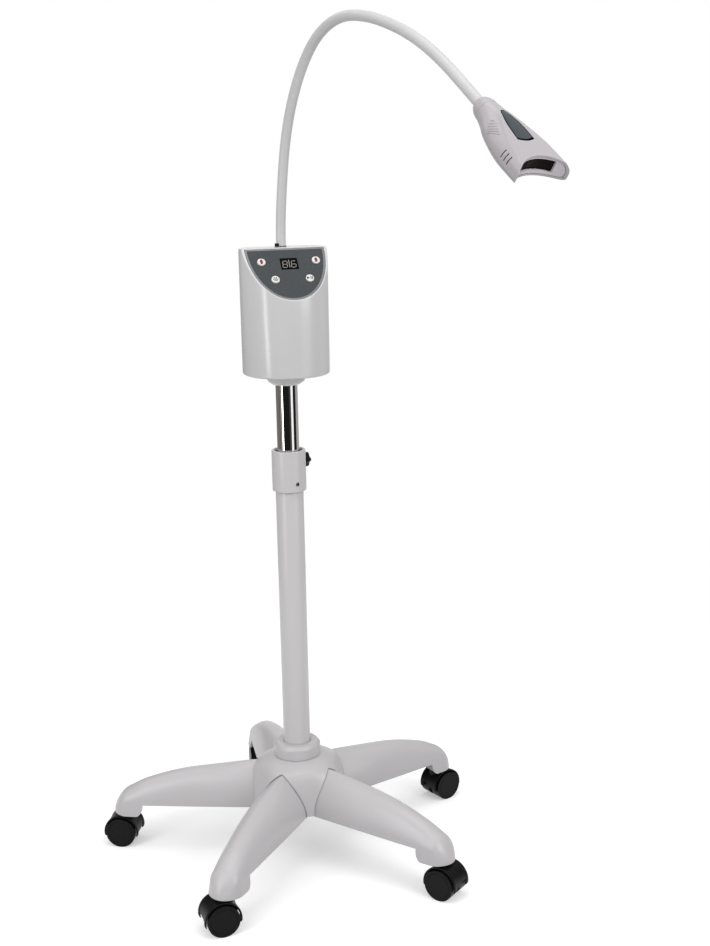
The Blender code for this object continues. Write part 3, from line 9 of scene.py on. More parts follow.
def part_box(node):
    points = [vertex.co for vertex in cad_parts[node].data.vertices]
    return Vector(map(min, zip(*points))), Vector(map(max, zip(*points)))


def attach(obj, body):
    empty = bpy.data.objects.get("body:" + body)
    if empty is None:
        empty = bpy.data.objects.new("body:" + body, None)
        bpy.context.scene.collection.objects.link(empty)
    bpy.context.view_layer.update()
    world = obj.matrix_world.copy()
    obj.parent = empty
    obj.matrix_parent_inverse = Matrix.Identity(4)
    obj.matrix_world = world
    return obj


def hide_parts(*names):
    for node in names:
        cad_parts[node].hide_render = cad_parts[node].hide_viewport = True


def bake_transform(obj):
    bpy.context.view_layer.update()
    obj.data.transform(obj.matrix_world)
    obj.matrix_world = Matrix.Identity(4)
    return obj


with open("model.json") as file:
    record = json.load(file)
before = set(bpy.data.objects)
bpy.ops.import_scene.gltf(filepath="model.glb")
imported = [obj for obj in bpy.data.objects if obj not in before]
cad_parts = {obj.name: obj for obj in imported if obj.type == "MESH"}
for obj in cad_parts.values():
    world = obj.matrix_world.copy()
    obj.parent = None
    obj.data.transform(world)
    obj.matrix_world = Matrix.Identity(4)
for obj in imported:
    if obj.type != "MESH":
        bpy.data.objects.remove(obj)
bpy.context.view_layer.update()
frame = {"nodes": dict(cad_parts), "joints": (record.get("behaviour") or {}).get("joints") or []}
nodes = frame["nodes"]
joints = {row["name"]: row for row in frame["joints"]}

# The floor of the studio and its white sweep. The floor is a pale sheet that runs on to the horizon, takes
# the shadow of the lamp, and turns into plain white away from it. It isn't part of the lamp. To the camera
# and in reflections it is white, and it sends only a little light back up at the lamp.
COLUMN_LOW, COLUMN_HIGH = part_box("outer_tube")
COLUMN_X = (COLUMN_LOW.x + COLUMN_HIGH.x) / 2
COLUMN_Y = (COLUMN_LOW.y + COLUMN_HIGH.y) / 2
COLUMN = Matrix.Translation((COLUMN_X, COLUMN_Y, 0))
FLOOR_REACH = 30.0
FLOOR_PLAIN_FROM = 0.7
FLOOR_PLAIN_TO = 1.6
FLOOR_COLOUR = (0.90, 0.90, 0.90, 1)
FLOOR_BOUNCE = (0.42, 0.42, 0.43, 1)
FLOOR_LIFT = 0.34
FLOOR_ROUGHNESS = 0.95
WHITE = (1, 1, 1, 1)
BLACK = (0, 0, 0, 1)


def placed(name, data):
    """A new object in the scene."""
    obj = bpy.data.objects.new(name, data)
    bpy.context.scene.collection.objects.link(obj)
    return obj


def feed(tree, node, inputs):
    """Set a node's inputs, each to a plain value or to what another node gives."""
    for socket, value in inputs.items():
        if isinstance(value, bpy.types.NodeSocket):
            tree.links.new(value, node.inputs[socket])
        else:
            node.inputs[socket].default_value = value
    return node


def add(tree, kind, inputs, out=0, **settings):
    """A new node with its settings and its inputs. One of its outputs comes back."""
    node = tree.nodes.new(kind)
    for setting, value in settings.items():
        setattr(node, setting, value)
    return feed(tree, node, inputs).outputs[out]


def own_coordinates(tree):
    return add(tree, "ShaderNodeTexCoord", {}, "Object")


def new_finish(name):
    """A new material with its node tree and its shader."""
    finish = bpy.data.materials.new(name)
    finish.use_nodes = True
    return finish, finish.node_tree, finish.node_tree.nodes["Principled BSDF"]


def seen_rays(tree):
    """One for what the camera sees, directly or in a mirror or through glass, and zero for other light."""
    rays = tree.nodes.new("ShaderNodeLightPath").outputs
    seen = add(tree, "ShaderNodeMath", {0: rays["Is Camera Ray"], 1: rays["Is Glossy Ray"]},
               operation="MAXIMUM")
    return add(tree, "ShaderNodeMath", {0: seen, 1: rays["Is Transmission Ray"]}, operation="MAXIMUM")


def studio_paper():
    """Pale paper near the lamp, and plain white further off, so that no horizon shows."""
    finish, tree, shader = new_finish("studio_paper")
    feed(tree, shader, {"Base Color": FLOOR_COLOUR, "Roughness": FLOOR_ROUGHNESS, "Specular IOR Level": 0.0,
                        "Emission Color": WHITE, "Emission Strength": FLOOR_LIFT})
    distance = add(tree, "ShaderNodeVectorMath", {0: own_coordinates(tree)}, "Value", operation="LENGTH")
    spread = add(tree, "ShaderNodeMapRange", {"From Min": FLOOR_PLAIN_FROM, "From Max": FLOOR_PLAIN_TO,
                                              "Value": distance}, interpolation_type="SMOOTHSTEP")
    plain = add(tree, "ShaderNodeEmission", {"Color": WHITE})
    paper = add(tree, "ShaderNodeMixShader", {"Fac": spread, 1: shader.outputs["BSDF"], 2: plain})
    bounce = add(tree, "ShaderNodeBsdfDiffuse", {"Color": FLOOR_BOUNCE})
    lit = add(tree, "ShaderNodeMixShader", {"Fac": seen_rays(tree), 1: bounce, 2: paper})
    feed(tree, tree.nodes["Material Output"], {"Surface": lit})
    return finish


floor_mesh = bpy.data.meshes.new("studio_floor")
floor_mesh.from_pydata([(-FLOOR_REACH, -FLOOR_REACH, 0), (FLOOR_REACH, -FLOOR_REACH, 0),
                        (FLOOR_REACH, FLOOR_REACH, 0), (-FLOOR_REACH, FLOOR_REACH, 0)], [], [(0, 1, 2, 3)])
floor = placed("studio_floor", floor_mesh)
floor_mesh.materials.append(studio_paper())

# The camera stands where the photographer's stood: 1.85 m in front of the column and just under a metre up,
# tipped down by 13 degrees. The lamp is turned 17 degrees to it.
CAMERA_TURN = math.radians(-17.0)
CAMERA_PLACE = (0.09, -1.846, 0.9675)
CAMERA_PITCH = 0.22421
CAMERA_ROLL = -0.01909
CAMERA_SENSOR = 36.0
CAMERA_LENS = 52.73
STUDIO = COLUMN @ Matrix.Rotation(CAMERA_TURN, 4, "Z")
camera_data = bpy.data.cameras.new("studio_camera")
camera_data.sensor_width = CAMERA_SENSOR
camera_data.lens = CAMERA_LENS
camera = placed("studio_camera", camera_data)
camera.matrix_world = (STUDIO @ Matrix.Translation(CAMERA_PLACE)
                       @ Matrix.Rotation(math.pi / 2 - CAMERA_PITCH, 4, "X")
                       @ Matrix.Rotation(CAMERA_ROLL, 4, "Z"))
bpy.context.scene.camera = camera
bpy.context.scene.view_settings.view_transform = "Standard"

# The light is a white tent, a tall strip lamp on the left of the camera, and three soft boxes. Dark boards
# lean back round the lamp out of the camera's sight, and show only as dark bands in the chrome and the glass.
TENT_STRENGTH = 0.60
STRIP_BEARING = -46.5
STRIP_WIDTH = 0.34
STRIP_TALL = 2.2
STRIP_LIFT = 0.02
STRIP_WATTS = 17.0
STRIP_DISTANCE = 2.4
SOFT_BOXES = (("studio_left", (-1.5, -1.7, 2.2), 1.3, 9.0), ("studio_right", (1.7, -1.4, 1.4), 1.3, 20.0),
              ("studio_top", (0.1, -0.2, 2.7), 1.2, 9.0))
LAMP_AIM = Vector((0.0, 0.0, 0.55))
BOARD_FOOT = 0.001
BOARD_TOP = 2.4
BOARD_DISTANCE = 2.6
BOARD_FOOT_DISTANCE = 1.5
BOARD_STEP = 6.0
BOARDS = (("board_far_left", -158.0, -84.0, (0.17, 0.155, 0.145)),
          ("board_left", -84.0, -76.0, (0.06, 0.055, 0.05)),
          ("board_near_left", -76.0, -54.0, (0.26, 0.245, 0.235)),
          ("board_middle", -41.0, 24.0, (0.012, 0.011, 0.011)),
          ("board_near_right", 24.0, 43.0, (0.05, 0.047, 0.045)),
          ("board_right", 66.0, 101.0, (0.015, 0.014, 0.014)),
          ("board_far_right", 101.0, 158.0, (0.38, 0.365, 0.36)))

world = bpy.data.worlds.new("studio_tent")
world.use_nodes = True
tent = add(world.node_tree, "ShaderNodeMapRange", {"To Min": TENT_STRENGTH, "To Max": 1.0,
                                                   "Value": seen_rays(world.node_tree)})
feed(world.node_tree, world.node_tree.nodes["Background"], {"Color": WHITE, "Strength": tent})
bpy.context.scene.world = world


def soft_lamp(name, place, wide, tall, watts):
    lamp_data = bpy.data.lights.new(name, "AREA")
    lamp_data.shape = "RECTANGLE"
    lamp_data.size = wide
    lamp_data.size_y = tall
    lamp_data.energy = watts
    placed(name, lamp_data).matrix_world = STUDIO @ place


soft_lamp("studio_strip", Matrix.Rotation(math.radians(STRIP_BEARING), 4, "Z")
          @ Matrix.Translation((0, -STRIP_DISTANCE, STRIP_TALL / 2 + STRIP_LIFT))
          @ Matrix.Rotation(math.pi / 2, 4, "X"),
          STRIP_WIDTH, STRIP_TALL, STRIP_WATTS)
for lamp_name, spot, width, watts in SOFT_BOXES:
    aim = (LAMP_AIM - Vector(spot)).to_track_quat("-Z", "Y").to_matrix().to_4x4()
    soft_lamp(lamp_name, Matrix.Translation(spot) @ aim, width, width, watts)

for board_name, start, end, shade in BOARDS:
    parts = max(round((end - start) / BOARD_STEP), 1)
    bearings = [math.radians(start + (end - start) * k / parts) for k in range(parts + 1)]
    corners = [(away * math.sin(b), -away * math.cos(b), z) for b in bearings
               for away, z in ((BOARD_FOOT_DISTANCE, BOARD_FOOT), (BOARD_DISTANCE, BOARD_TOP))]
    faces = [(2 * k, 2 * k + 2, 2 * k + 3, 2 * k + 1) for k in range(parts)]
    board_mesh = bpy.data.meshes.new(board_name)
    board_mesh.from_pydata(corners, [], faces)
    board_mesh.transform(STUDIO)
    board = placed(board_name, board_mesh)
    board_finish, board_tree, board_shader = new_finish(board_name)
    feed(board_tree, board_shader, {"Base Color": BLACK, "Specular IOR Level": 0.0,
                                    "Emission Color": (*shade, 1), "Emission Strength": 1.0})
    board_mesh.materials.append(board_finish)
    board.visible_camera = False
    board.visible_diffuse = False
    board.visible_transmission = False
    board.visible_shadow = False

# Star frame: one casting of aluminium with a hub for the column and five arms, each with a socket for a
# caster's stem. A bolt from below holds the column. Both stand inside the plastic covers, and show only
# from underneath.
CAST_COLOUR = (0.42, 0.42, 0.43)
STEEL_COLOUR = (0.50, 0.50, 0.52)
CLOUD_LOW = 0.3
CLOUD_HIGH = 0.7
ROUGH_SPREAD = 0.12
ROUGH_GRAINS = 3


def mottle(tree, size, low, high, detail=2.0, stretch=(1, 1, 1)):
    """Clouds of the given size in metres on the piece's own coordinates, as a value between low and high."""
    mapping = add(tree, "ShaderNodeMapping", {"Scale": stretch, "Vector": own_coordinates(tree)})
    clouds = add(tree, "ShaderNodeTexNoise", {"Scale": 1 / size, "Detail": detail, "Vector": mapping}, "Fac")
    return add(tree, "ShaderNodeMapRange", {"From Min": CLOUD_LOW, "From Max": CLOUD_HIGH, "To Min": low,
                                            "To Max": high, "Value": clouds})


def surface(name, colour, roughness, grain, depth, shade=0.03, metallic=0.0, cloud=0.05, stretch=(1, 1, 1),
            shine=0.5):
    """A finish with faint clouds in its colour, and a fine grain in its roughness and its surface."""
    finish, tree, shader = new_finish(name)
    dark = (*[value * (1 - shade) for value in colour], 1)
    light = (*[min(value * (1 + shade), 1) for value in colour], 1)
    tint = add(tree, "ShaderNodeMix", {6: dark, 7: light, 0: mottle(tree, cloud, 0, 1)}, 2, data_type="RGBA")
    rough = mottle(tree, grain * ROUGH_GRAINS, roughness * (1 - ROUGH_SPREAD), roughness * (1 + ROUGH_SPREAD),
                   3.0, stretch)
    bump = add(tree, "ShaderNodeBump", {"Strength": 1.0, "Distance": depth,
                                        "Height": mottle(tree, grain, 0, 1, 2.0, stretch)})
    feed(tree, shader, {"Base Color": tint, "Roughness": rough, "Normal": bump, "Metallic": metallic,
                        "Specular IOR Level": shine})
    return finish


def dress(node, finish):
    """A CAD node whose shape is right keeps its mesh and takes its finish."""
    mesh = nodes[node].data
    mesh.materials.clear()
    mesh.materials.append(finish)


cast_aluminium = surface("cast_aluminium", CAST_COLOUR, 0.5, 0.0012, 0.00012, 0.10, 1.0)
machined_steel = surface("machined_steel", STEEL_COLOUR, 0.32, 0.0004, 0.00002, 0.04, 1.0, stretch=(1, 1, 12))
dress("star_frame", cast_aluminium)
dress("hub_bolt", machined_steel)

# Casters: black nylon twin wheels under a hood that wraps round them with a flange and ends in two jaws.
# The inner wheel carries the axle, and a steel stem with a boss turns in the socket of the arm. All are
# injection moulded.
MERGE = 0.000002
RUN_GAP = 0.0005
BORE_STEPS = 32
SMALL_STEPS = 48
ROUND_STEPS = 96
NYLON_COLOUR = (0.0045, 0.0042, 0.0045)
HUB_CAP_COLOUR = (0.005, 0.005, 0.0055)
CORNER_SHARE = 0.45
SMOOTH_BELOW = math.radians(32)
WHEEL_RADIUS = joints["wheel_spin_1"]["pos_m"][2]
WHEEL_INNER = 0.004
WHEEL_FACE = 0.0205
WHEEL_DISC_RADIUS = 0.0194
WHEEL_GROOVE_RADIUS = 0.0172
WHEEL_GROOVE = 0.0004
AXLE_RADIUS = 0.003
AXLE_END = 0.01225
AXLE_ROOM = 0.0003
HOOD_INNER = 0.0229
HOOD_OUTER = 0.0250
HOOD_WAIST = 0.0243
HOOD_HALF_WIDTH = 0.0175
HOOD_BAND = 0.0125
HOOD_END = math.radians(-14.0)
HOOD_STEPS = 64
HOOD_CUT_HALF_WIDTH = 0.0115
HOOD_CUT_HEIGHT = 0.0035
JAW_SHARE = 0.035
JAW_WALL_SHARE = 0.55
WEB_HALF_WIDTH = 0.0035
WEB_LAP = 0.0004
STEM_RADIUS = 0.0055
STEM_HEIGHT = 0.020
BOSS_RADIUS = 0.0095
HOOD_ROUND = 0.0006
HOOD_GAP_ROUND = 0.001
HOOD_CUT_IN = 0.0015
HOOD_CUT_OUT = 0.002
LEG_COUNT = 5
LEG_CLEARANCE = 0.0036
LEG_RIM = WHEEL_RADIUS + HOOD_OUTER + LEG_CLEARANCE


def turning(angle, axis):
    return Matrix.Rotation(angle, 4, axis)


def rounded(outline, reach, closed=False, parts=4):
    """The same line of points with each corner eased by a short curve."""
    count = len(outline)
    line = []
    for i, point in enumerate(outline):
        if not closed and i in (0, count - 1):
            line.append(tuple(point))
            continue
        corner = Vector(point)
        before = Vector(outline[i - 1]) - corner
        after = Vector(outline[(i + 1) % count]) - corner
        near = min(reach, before.length * CORNER_SHARE, after.length * CORNER_SHARE)
        start, end = corner + before.normalized() * near, corner + after.normalized() * near
        for k in range(parts + 1):
            t = k / parts
            line.append(tuple(start * (1 - t) ** 2 + corner * 2 * t * (1 - t) + end * t ** 2))
    return line


def merged(shape):
    """Join the doubled points of a mesh in the making, and turn its faces outwards."""
    bmesh.ops.remove_doubles(shape, verts=shape.verts, dist=MERGE)
    bmesh.ops.recalc_face_normals(shape, faces=shape.faces)
    return shape


def moulded(name, shape):
    """A working object from a mesh in the making, as it is."""
    mesh = bpy.data.meshes.new(name)
    shape.to_mesh(mesh)
    shape.free()
    return placed(name, mesh)


def working(name, shape):
    return moulded(name, merged(shape))


def skin(rings, closed=True, caps=True):
    """Faces laid over rings of points that all have the same number of points."""
    shape = bmesh.new()
    made = [[shape.verts.new(point) for point in ring] for ring in rings]
    count = len(rings[0])
    for ring, following in zip(made, made[1:]):
        for i in range(count if closed else count - 1):
            k = (i + 1) % count
            shape.faces.new((ring[i], ring[k], following[k], following[i]))
    if caps:
        shape.faces.new(made[0][::-1])
        shape.faces.new(made[-1])
    return shape


def turned(name, outline, steps=ROUND_STEPS, closed=False, place=None):
    """A turned piece from points of (radius, height), round its local Z."""
    angles = [2 * math.pi * k / steps for k in range(steps)]
    rings = [[(radius * math.cos(angle), radius * math.sin(angle), height) for radius, height in outline]
             for angle in angles + [0.0]]
    shape = skin(rings, closed, False)
    if place:
        bmesh.ops.transform(shape, matrix=place, verts=shape.verts)
    return working(name, shape)


def rod(name, radius, high, low, steps=ROUND_STEPS, place=None):
    """A plain round bar round its local Z, mostly to cut with."""
    return turned(name, [(0, high), (radius, high), (radius, low), (0, low)], steps, place=place)


def slab(name, outline, low, high, place=None, rim=0.0, rim_steps=3):
    """A flat outline given thickness, with its two rims rounded if asked."""
    shape = skin([[(x, y, low) for x, y in outline], [(x, y, high) for x, y in outline]])
    if rim:
        edges = [e for e in shape.edges if abs(e.verts[0].co.z - e.verts[1].co.z) < MERGE]
        bmesh.ops.recalc_face_normals(shape, faces=shape.faces)
        bmesh.ops.bevel(shape, geom=edges, offset=rim, segments=rim_steps, affect="EDGES", profile=0.5)
    if place:
        bmesh.ops.transform(shape, matrix=place, verts=shape.verts)
    return working(name, shape)


def carve(target, *tools, operation="DIFFERENCE"):
    """Cut, join or intersect a working object with others."""
    for tool in tools:
        step = target.modifiers.new(tool.name, "BOOLEAN")
        step.operation = operation
        step.solver = "EXACT"
        step.object = tool
    return target


def baked(obj, smooth_below=SMOOTH_BELOW):
    """The finished mesh of a working object. The object and its tools are cleared away."""
    tools = {step.object for step in obj.modifiers if step.type == "BOOLEAN"}
    bpy.context.view_layer.update()
    evaluated = obj.evaluated_get(bpy.context.evaluated_depsgraph_get())
    mesh = bpy.data.meshes.new_from_object(evaluated)
    mesh.shade_smooth()
    mesh.set_sharp_from_angle(angle=smooth_below)
    for gone in [obj, *sorted(tools, key=lambda tool: tool.name)]:
        bpy.data.objects.remove(gone, do_unlink=True)
    return mesh


def show(name, mesh, finish, body, slot, *replaced, place=None):
    """A finished piece: a copy of its mesh, put in place, that rides on its body."""
    made = mesh.copy()
    made.name = name
    if place:
        made.transform(place)
    made.materials.clear()
    made.materials.append(finish)
    piece = placed(name, made)
    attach(piece, body)
    if replaced:
        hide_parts(*replaced)
    return piece


def wheel_outline(axle_end, hollow):
    """Half a wheel: a disc with a fine groove near its rim, a round shoulder, the tread and the axle hole."""
    groove = WHEEL_FACE - WHEEL_GROOVE
    side = [(0, WHEEL_FACE), (WHEEL_GROOVE_RADIUS - WHEEL_GROOVE, WHEEL_FACE),
            (WHEEL_GROOVE_RADIUS, groove), (WHEEL_GROOVE_RADIUS + WHEEL_GROOVE, WHEEL_FACE),
            (WHEEL_DISC_RADIUS, WHEEL_FACE)]
    low = 2 * WHEEL_FACE - WHEEL_RADIUS - WHEEL_GROOVE
    shoulder = rounded([(WHEEL_DISC_RADIUS, WHEEL_FACE), (WHEEL_RADIUS, WHEEL_FACE), (WHEEL_RADIUS, low),
                        (WHEEL_RADIUS, WHEEL_INNER)], WHEEL_RADIUS, False, 8)
    if hollow:
        bore = AXLE_RADIUS + AXLE_ROOM
        return side + shoulder[1:] + [(bore, WHEEL_INNER), (bore, axle_end), (0, axle_end)]
    return side + shoulder[1:] + [(AXLE_RADIUS, WHEEL_INNER), (AXLE_RADIUS, -axle_end), (0, -axle_end)]


def hood_mesh():
    """The hood with its flange, jaws, middle web and stem, in the frame of the axle."""
    step = HOOD_OUTER - HOOD_WAIST
    section = [(HOOD_OUTER, -HOOD_HALF_WIDTH), (HOOD_OUTER, -HOOD_BAND - step), (HOOD_WAIST, -HOOD_BAND),
               (HOOD_WAIST, HOOD_BAND), (HOOD_OUTER, HOOD_BAND + step), (HOOD_OUTER, HOOD_HALF_WIDTH),
               (HOOD_INNER, HOOD_HALF_WIDTH), (HOOD_INNER, -HOOD_HALF_WIDTH)]
    section = rounded(section, HOOD_ROUND, True, 3)
    angles = [HOOD_END + (math.pi - 2 * HOOD_END) * k / HOOD_STEPS for k in range(HOOD_STEPS + 1)]
    rings = []
    for k, angle in enumerate(angles):
        near = min(k, HOOD_STEPS - k) / HOOD_STEPS / JAW_SHARE
        wall = JAW_WALL_SHARE + (1 - JAW_WALL_SHARE) * math.sin(min(near, 1) * math.pi / 2)
        ring = [(HOOD_INNER + (radius - HOOD_INNER) * wall, side) for radius, side in section]
        rings.append([(radius * math.cos(angle), radius * math.sin(angle), side) for radius, side in ring])
    hood = working("caster_hood_form", skin(rings))
    arc = HOOD_INNER + WEB_LAP
    web = slab("caster_web", [(arc * math.cos(angle), arc * math.sin(angle)) for angle in angles],
               -WEB_HALF_WIDTH, WEB_HALF_WIDTH)
    boss_top = LEG_RIM + RUN_GAP - WHEEL_RADIUS
    stem_top = boss_top + STEM_HEIGHT
    post = rounded([(0, stem_top), (STEM_RADIUS, stem_top), (STEM_RADIUS, boss_top), (BOSS_RADIUS, boss_top),
                    (BOSS_RADIUS, HOOD_INNER / 2), (0, HOOD_INNER / 2)], HOOD_ROUND)
    back = Matrix.Translation((-CASTER_TRAIL, 0, 0)) @ turning(-math.pi / 2, "X")
    stem = carve(turned("caster_stem", post, SMALL_STEPS, place=back),
                 rod("hood_room", HOOD_INNER, WHEEL_FACE, WEB_HALF_WIDTH),
                 rod("hood_other_room", HOOD_INNER, -WEB_HALF_WIDTH, -WHEEL_FACE))
    stem = placed("caster_post", baked(stem))
    bore = rod("axle_bore", AXLE_RADIUS + RUN_GAP, WHEEL_FACE, -WHEEL_FACE, BORE_STEPS)
    carve(hood, web, stem, operation="UNION")
    for side in (-1, 1):
        near, far = sorted((side * (HOOD_INNER - HOOD_CUT_IN), side * (HOOD_OUTER + HOOD_CUT_OUT)))
        gap = rounded([(near, -HOOD_INNER), (far, -HOOD_INNER), (far, HOOD_CUT_HEIGHT),
                       (near, HOOD_CUT_HEIGHT)], HOOD_GAP_ROUND, True)
        carve(hood, slab("jaw_gap_%d" % (side + 1), gap, -HOOD_CUT_HALF_WIDTH, HOOD_CUT_HALF_WIDTH))
    return baked(carve(hood, bore))


WHEEL_SPOT, SWIVEL_SPOT = [Vector(joints[name]["pos_m"]) for name in ("wheel_spin_1", "caster_swivel_1")]
CASTER_TRAIL = (WHEEL_SPOT - SWIVEL_SPOT).xy.length
black_nylon = surface("black_nylon", NYLON_COLOUR, 0.40, 0.0006, 0.00002, 0.15, shine=0.15)
hub_cap_nylon = surface("hub_cap_nylon", HUB_CAP_COLOUR, 0.34, 0.0005, 0.00002, 0.12, shine=0.12)
hood_form = hood_mesh()
wheel_with_axle = baked(turned("wheel_with_axle", wheel_outline(AXLE_END, False)))
wheel_with_bore = baked(turned("wheel_with_bore", wheel_outline(AXLE_END + AXLE_ROOM, True)))
for number in range(1, LEG_COUNT + 1):
    centre = Vector(joints["wheel_spin_%d" % number]["pos_m"])
    trail = centre - Vector(joints["caster_swivel_%d" % number]["pos_m"])
    trail.z = 0
    trail.normalize()
    across = trail.cross(Vector((0, 0, 1)))
    axle = Matrix.Translation(centre) @ Matrix((trail, (0, 0, 1), across)).transposed().to_4x4()
    rows = (("body_%d", hood_form, black_nylon, "caster_%d", "hood_%d", axle),
            ("roller_%d_inner", wheel_with_axle, hub_cap_nylon, "wheels_%d", "wheel_%d_a", axle),
            ("roller_%d_outer", wheel_with_bore, hub_cap_nylon, "wheels_%d", "wheel_%d_b",
             axle @ turning(math.pi, "X")))
    for label, form, finish, body, replaced, place in rows:
        show("caster_" + label % number, form, finish, body % number, "black_plastic",
             "caster_" + replaced % number, place=place)

# Leg covers: five long arched mouldings in pale grey, open underneath, that clip over the arms of the star
# and end in a round cap over the caster. Their lower edges stand on short skirts, which step down round the
# caster.
BASE_COLOUR = (0.525, 0.510, 0.520)
LEG_PITCH = 2 * math.pi / LEG_COUNT
FIRST_STEM = Vector(joints["caster_swivel_1"]["pos_m"]) - Vector((COLUMN_X, COLUMN_Y, 0))
LEG_START = math.atan2(FIRST_STEM.y, FIRST_STEM.x)
LEG_REACH = FIRST_STEM.xy.length
SEAM = 0.0003
LEG_WALL = 0.0025
LEG_UNDERSIDE_RISE = 0.021
LEG_UNDERSIDE = LEG_RIM + LEG_UNDERSIDE_RISE
LEG_UNDERSIDE_DROP = 0.005
LEG_ROOT_RISE = 0.078
LEG_END_RISE = 0.0348
LEG_CREST_ROOT = LEG_RIM + LEG_ROOT_RISE
LEG_CREST_END = LEG_RIM + LEG_END_RISE
LEG_LIP = 0.002
LEG_SHOULDER_HALF_WIDTH = 0.037
LEG_END_HALF_WIDTH = 0.0207
LEG_TAPER_POWER = 1.15
LEG_FLARE_SHARE = 0.18
LEG_CAP_DEPTH = 0.0205
LEG_MEETING = LEG_SHOULDER_HALF_WIDTH / math.tan(LEG_PITCH / 2)
LEG_ROOT_SETBACK = 0.003926
LEG_ROOT = LEG_MEETING - LEG_ROOT_SETBACK
LEG_STEP = LEG_REACH - LEG_CAP_DEPTH
LEG_STEP_BACK = 0.003
LEG_STEP_START = LEG_STEP - LEG_STEP_BACK
LEG_STEP_REACH = 0.010
LEG_STEP_RINGS = 10
LEG_FLAT_RINGS = 6
LEG_CROSS_WALL_SHARE = 0.6
LEG_CROSS_WALL_LAP = 0.0007
LEG_EDGE_ROUND = 0.0005
LEG_RINGS = 44
LEG_CAP_RINGS = 14
LEG_ARCH_STEPS = 48
LEG_ROOT_POWER = 1.42
LEG_ROUND_FROM = 0.125
CREST_SHARES = [(0.0, 0.0), (0.10, 0.03), (0.32, 0.18), (0.61, 0.36), (0.87, 0.70), (1.0, 1.0)]


def bowed(value, power):
    return math.copysign(abs(value) ** power, value)


def eased(table, share):
    """A value read from rows of (share, value) along a smooth curve."""
    last = len(table) - 1
    k = min(sum(1 for row in table[1:-1] if share > row[0]), last - 1)
    (a, low), (b, high) = table[k], table[k + 1]
    before, after = table[max(k - 1, 0)], table[min(k + 2, last)]
    leave = (high - before[1]) / (b - before[0]) * (b - a)
    arrive = (after[1] - low) / (after[0] - a) * (b - a)
    t = (share - a) / (b - a)
    return ((2 * t ** 3 - 3 * t ** 2 + 1) * low + (t ** 3 - 2 * t ** 2 + t) * leave
            + (3 * t ** 2 - 2 * t ** 3) * high + (t ** 3 - t ** 2) * arrive)


def leg_half_width(radius):
    """Half the width of a leg at a distance from the column: a wedge at the hub, then a long taper."""
    wedge = radius * math.tan(LEG_PITCH / 2) - SEAM - LEG_FLARE_SHARE * LEG_LIP
    share = max((radius - LEG_ROOT) / (LEG_REACH - LEG_ROOT), 0)
    taper = (LEG_SHOULDER_HALF_WIDTH
             + (LEG_END_HALF_WIDTH - LEG_SHOULDER_HALF_WIDTH) * share ** LEG_TAPER_POWER)
    return min(wedge, taper)


def leg_crest(radius):
    share = (radius - LEG_ROOT) / (LEG_REACH - LEG_ROOT)
    return LEG_CREST_ROOT + (LEG_CREST_END - LEG_CREST_ROOT) * eased(CREST_SHARES, share)


def leg_low(radius):
    return LEG_UNDERSIDE - LEG_UNDERSIDE_DROP * (radius - LEG_ROOT) / (LEG_REACH - LEG_ROOT)


def leg_station(radius):
    """Half width, crest, foot of the arch and lower edge of a leg at a distance from the column."""
    if radius <= LEG_REACH:
        low = leg_low(radius)
        t = min(max((radius - LEG_STEP_START) / LEG_STEP_REACH, 0), 1)
        edge = low + (LEG_RIM - low) * math.sqrt(1 - (1 - t) ** 2)
        return leg_half_width(radius), leg_crest(radius), low + LEG_LIP, edge
    reach = radius - LEG_REACH
    part = math.sqrt(max(1 - (reach / LEG_CAP_DEPTH) ** 2, 0))
    crest_slope = (leg_crest(LEG_REACH) - leg_crest(LEG_REACH - SEAM)) / SEAM
    half_slope = (leg_half_width(LEG_REACH) - leg_half_width(LEG_REACH - SEAM)) / SEAM
    crest = LEG_RIM + (LEG_CREST_END - LEG_RIM + crest_slope * reach) * part
    foot = LEG_RIM + (leg_low(LEG_REACH) + LEG_LIP - LEG_RIM) * part ** 2
    return (LEG_END_HALF_WIDTH + half_slope * reach) * part, crest, min(foot, crest), LEG_RIM


def leg_ring(radius, grow=0.0, steps=LEG_ARCH_STEPS):
    """One section of a leg: an arch, pointed at the hub and round further out, on its two skirts."""
    half, crest, foot, edge = leg_station(radius)
    spread = half + grow + LEG_FLARE_SHARE * (foot - edge)
    t = min(max((radius - LEG_ROOT) / (LEG_ROUND_FROM - LEG_ROOT), 0), 1)
    power = LEG_ROOT_POWER + (2 - LEG_ROOT_POWER) * t * t * (3 - 2 * t)
    arch = []
    for i in range(steps + 1):
        angle = math.pi * i / steps
        across = bowed(math.cos(angle), 2 / power) if i * 2 != steps else 0
        up = abs(math.sin(angle)) ** (2 / power) if 0 < i < steps else 0
        arch.append((radius, (half + grow) * across, foot + (crest + grow - foot) * up))
    return [(radius, spread, edge)] + arch + [(radius, -spread, edge)]


def leg_radii():
    """Places of the leg's rings: close together at the step over the caster and at the tip."""
    long = [LEG_ROOT + (LEG_STEP_START - LEG_ROOT) * k / LEG_RINGS for k in range(LEG_RINGS)]
    if all(abs(radius - LEG_MEETING) > SEAM for radius in long):
        long = sorted(long + [LEG_MEETING])
    step = [LEG_STEP_START + LEG_STEP_REACH * (k / LEG_STEP_RINGS) ** 2 for k in range(LEG_STEP_RINGS + 1)]
    flat = [step[-1] + (LEG_REACH - step[-1]) * k / LEG_FLAT_RINGS for k in range(1, LEG_FLAT_RINGS + 1)]
    cap = [LEG_REACH + LEG_CAP_DEPTH * math.sin(math.pi / 2 * k / LEG_CAP_RINGS)
           for k in range(1, LEG_CAP_RINGS + 1)]
    return long + step + flat + cap


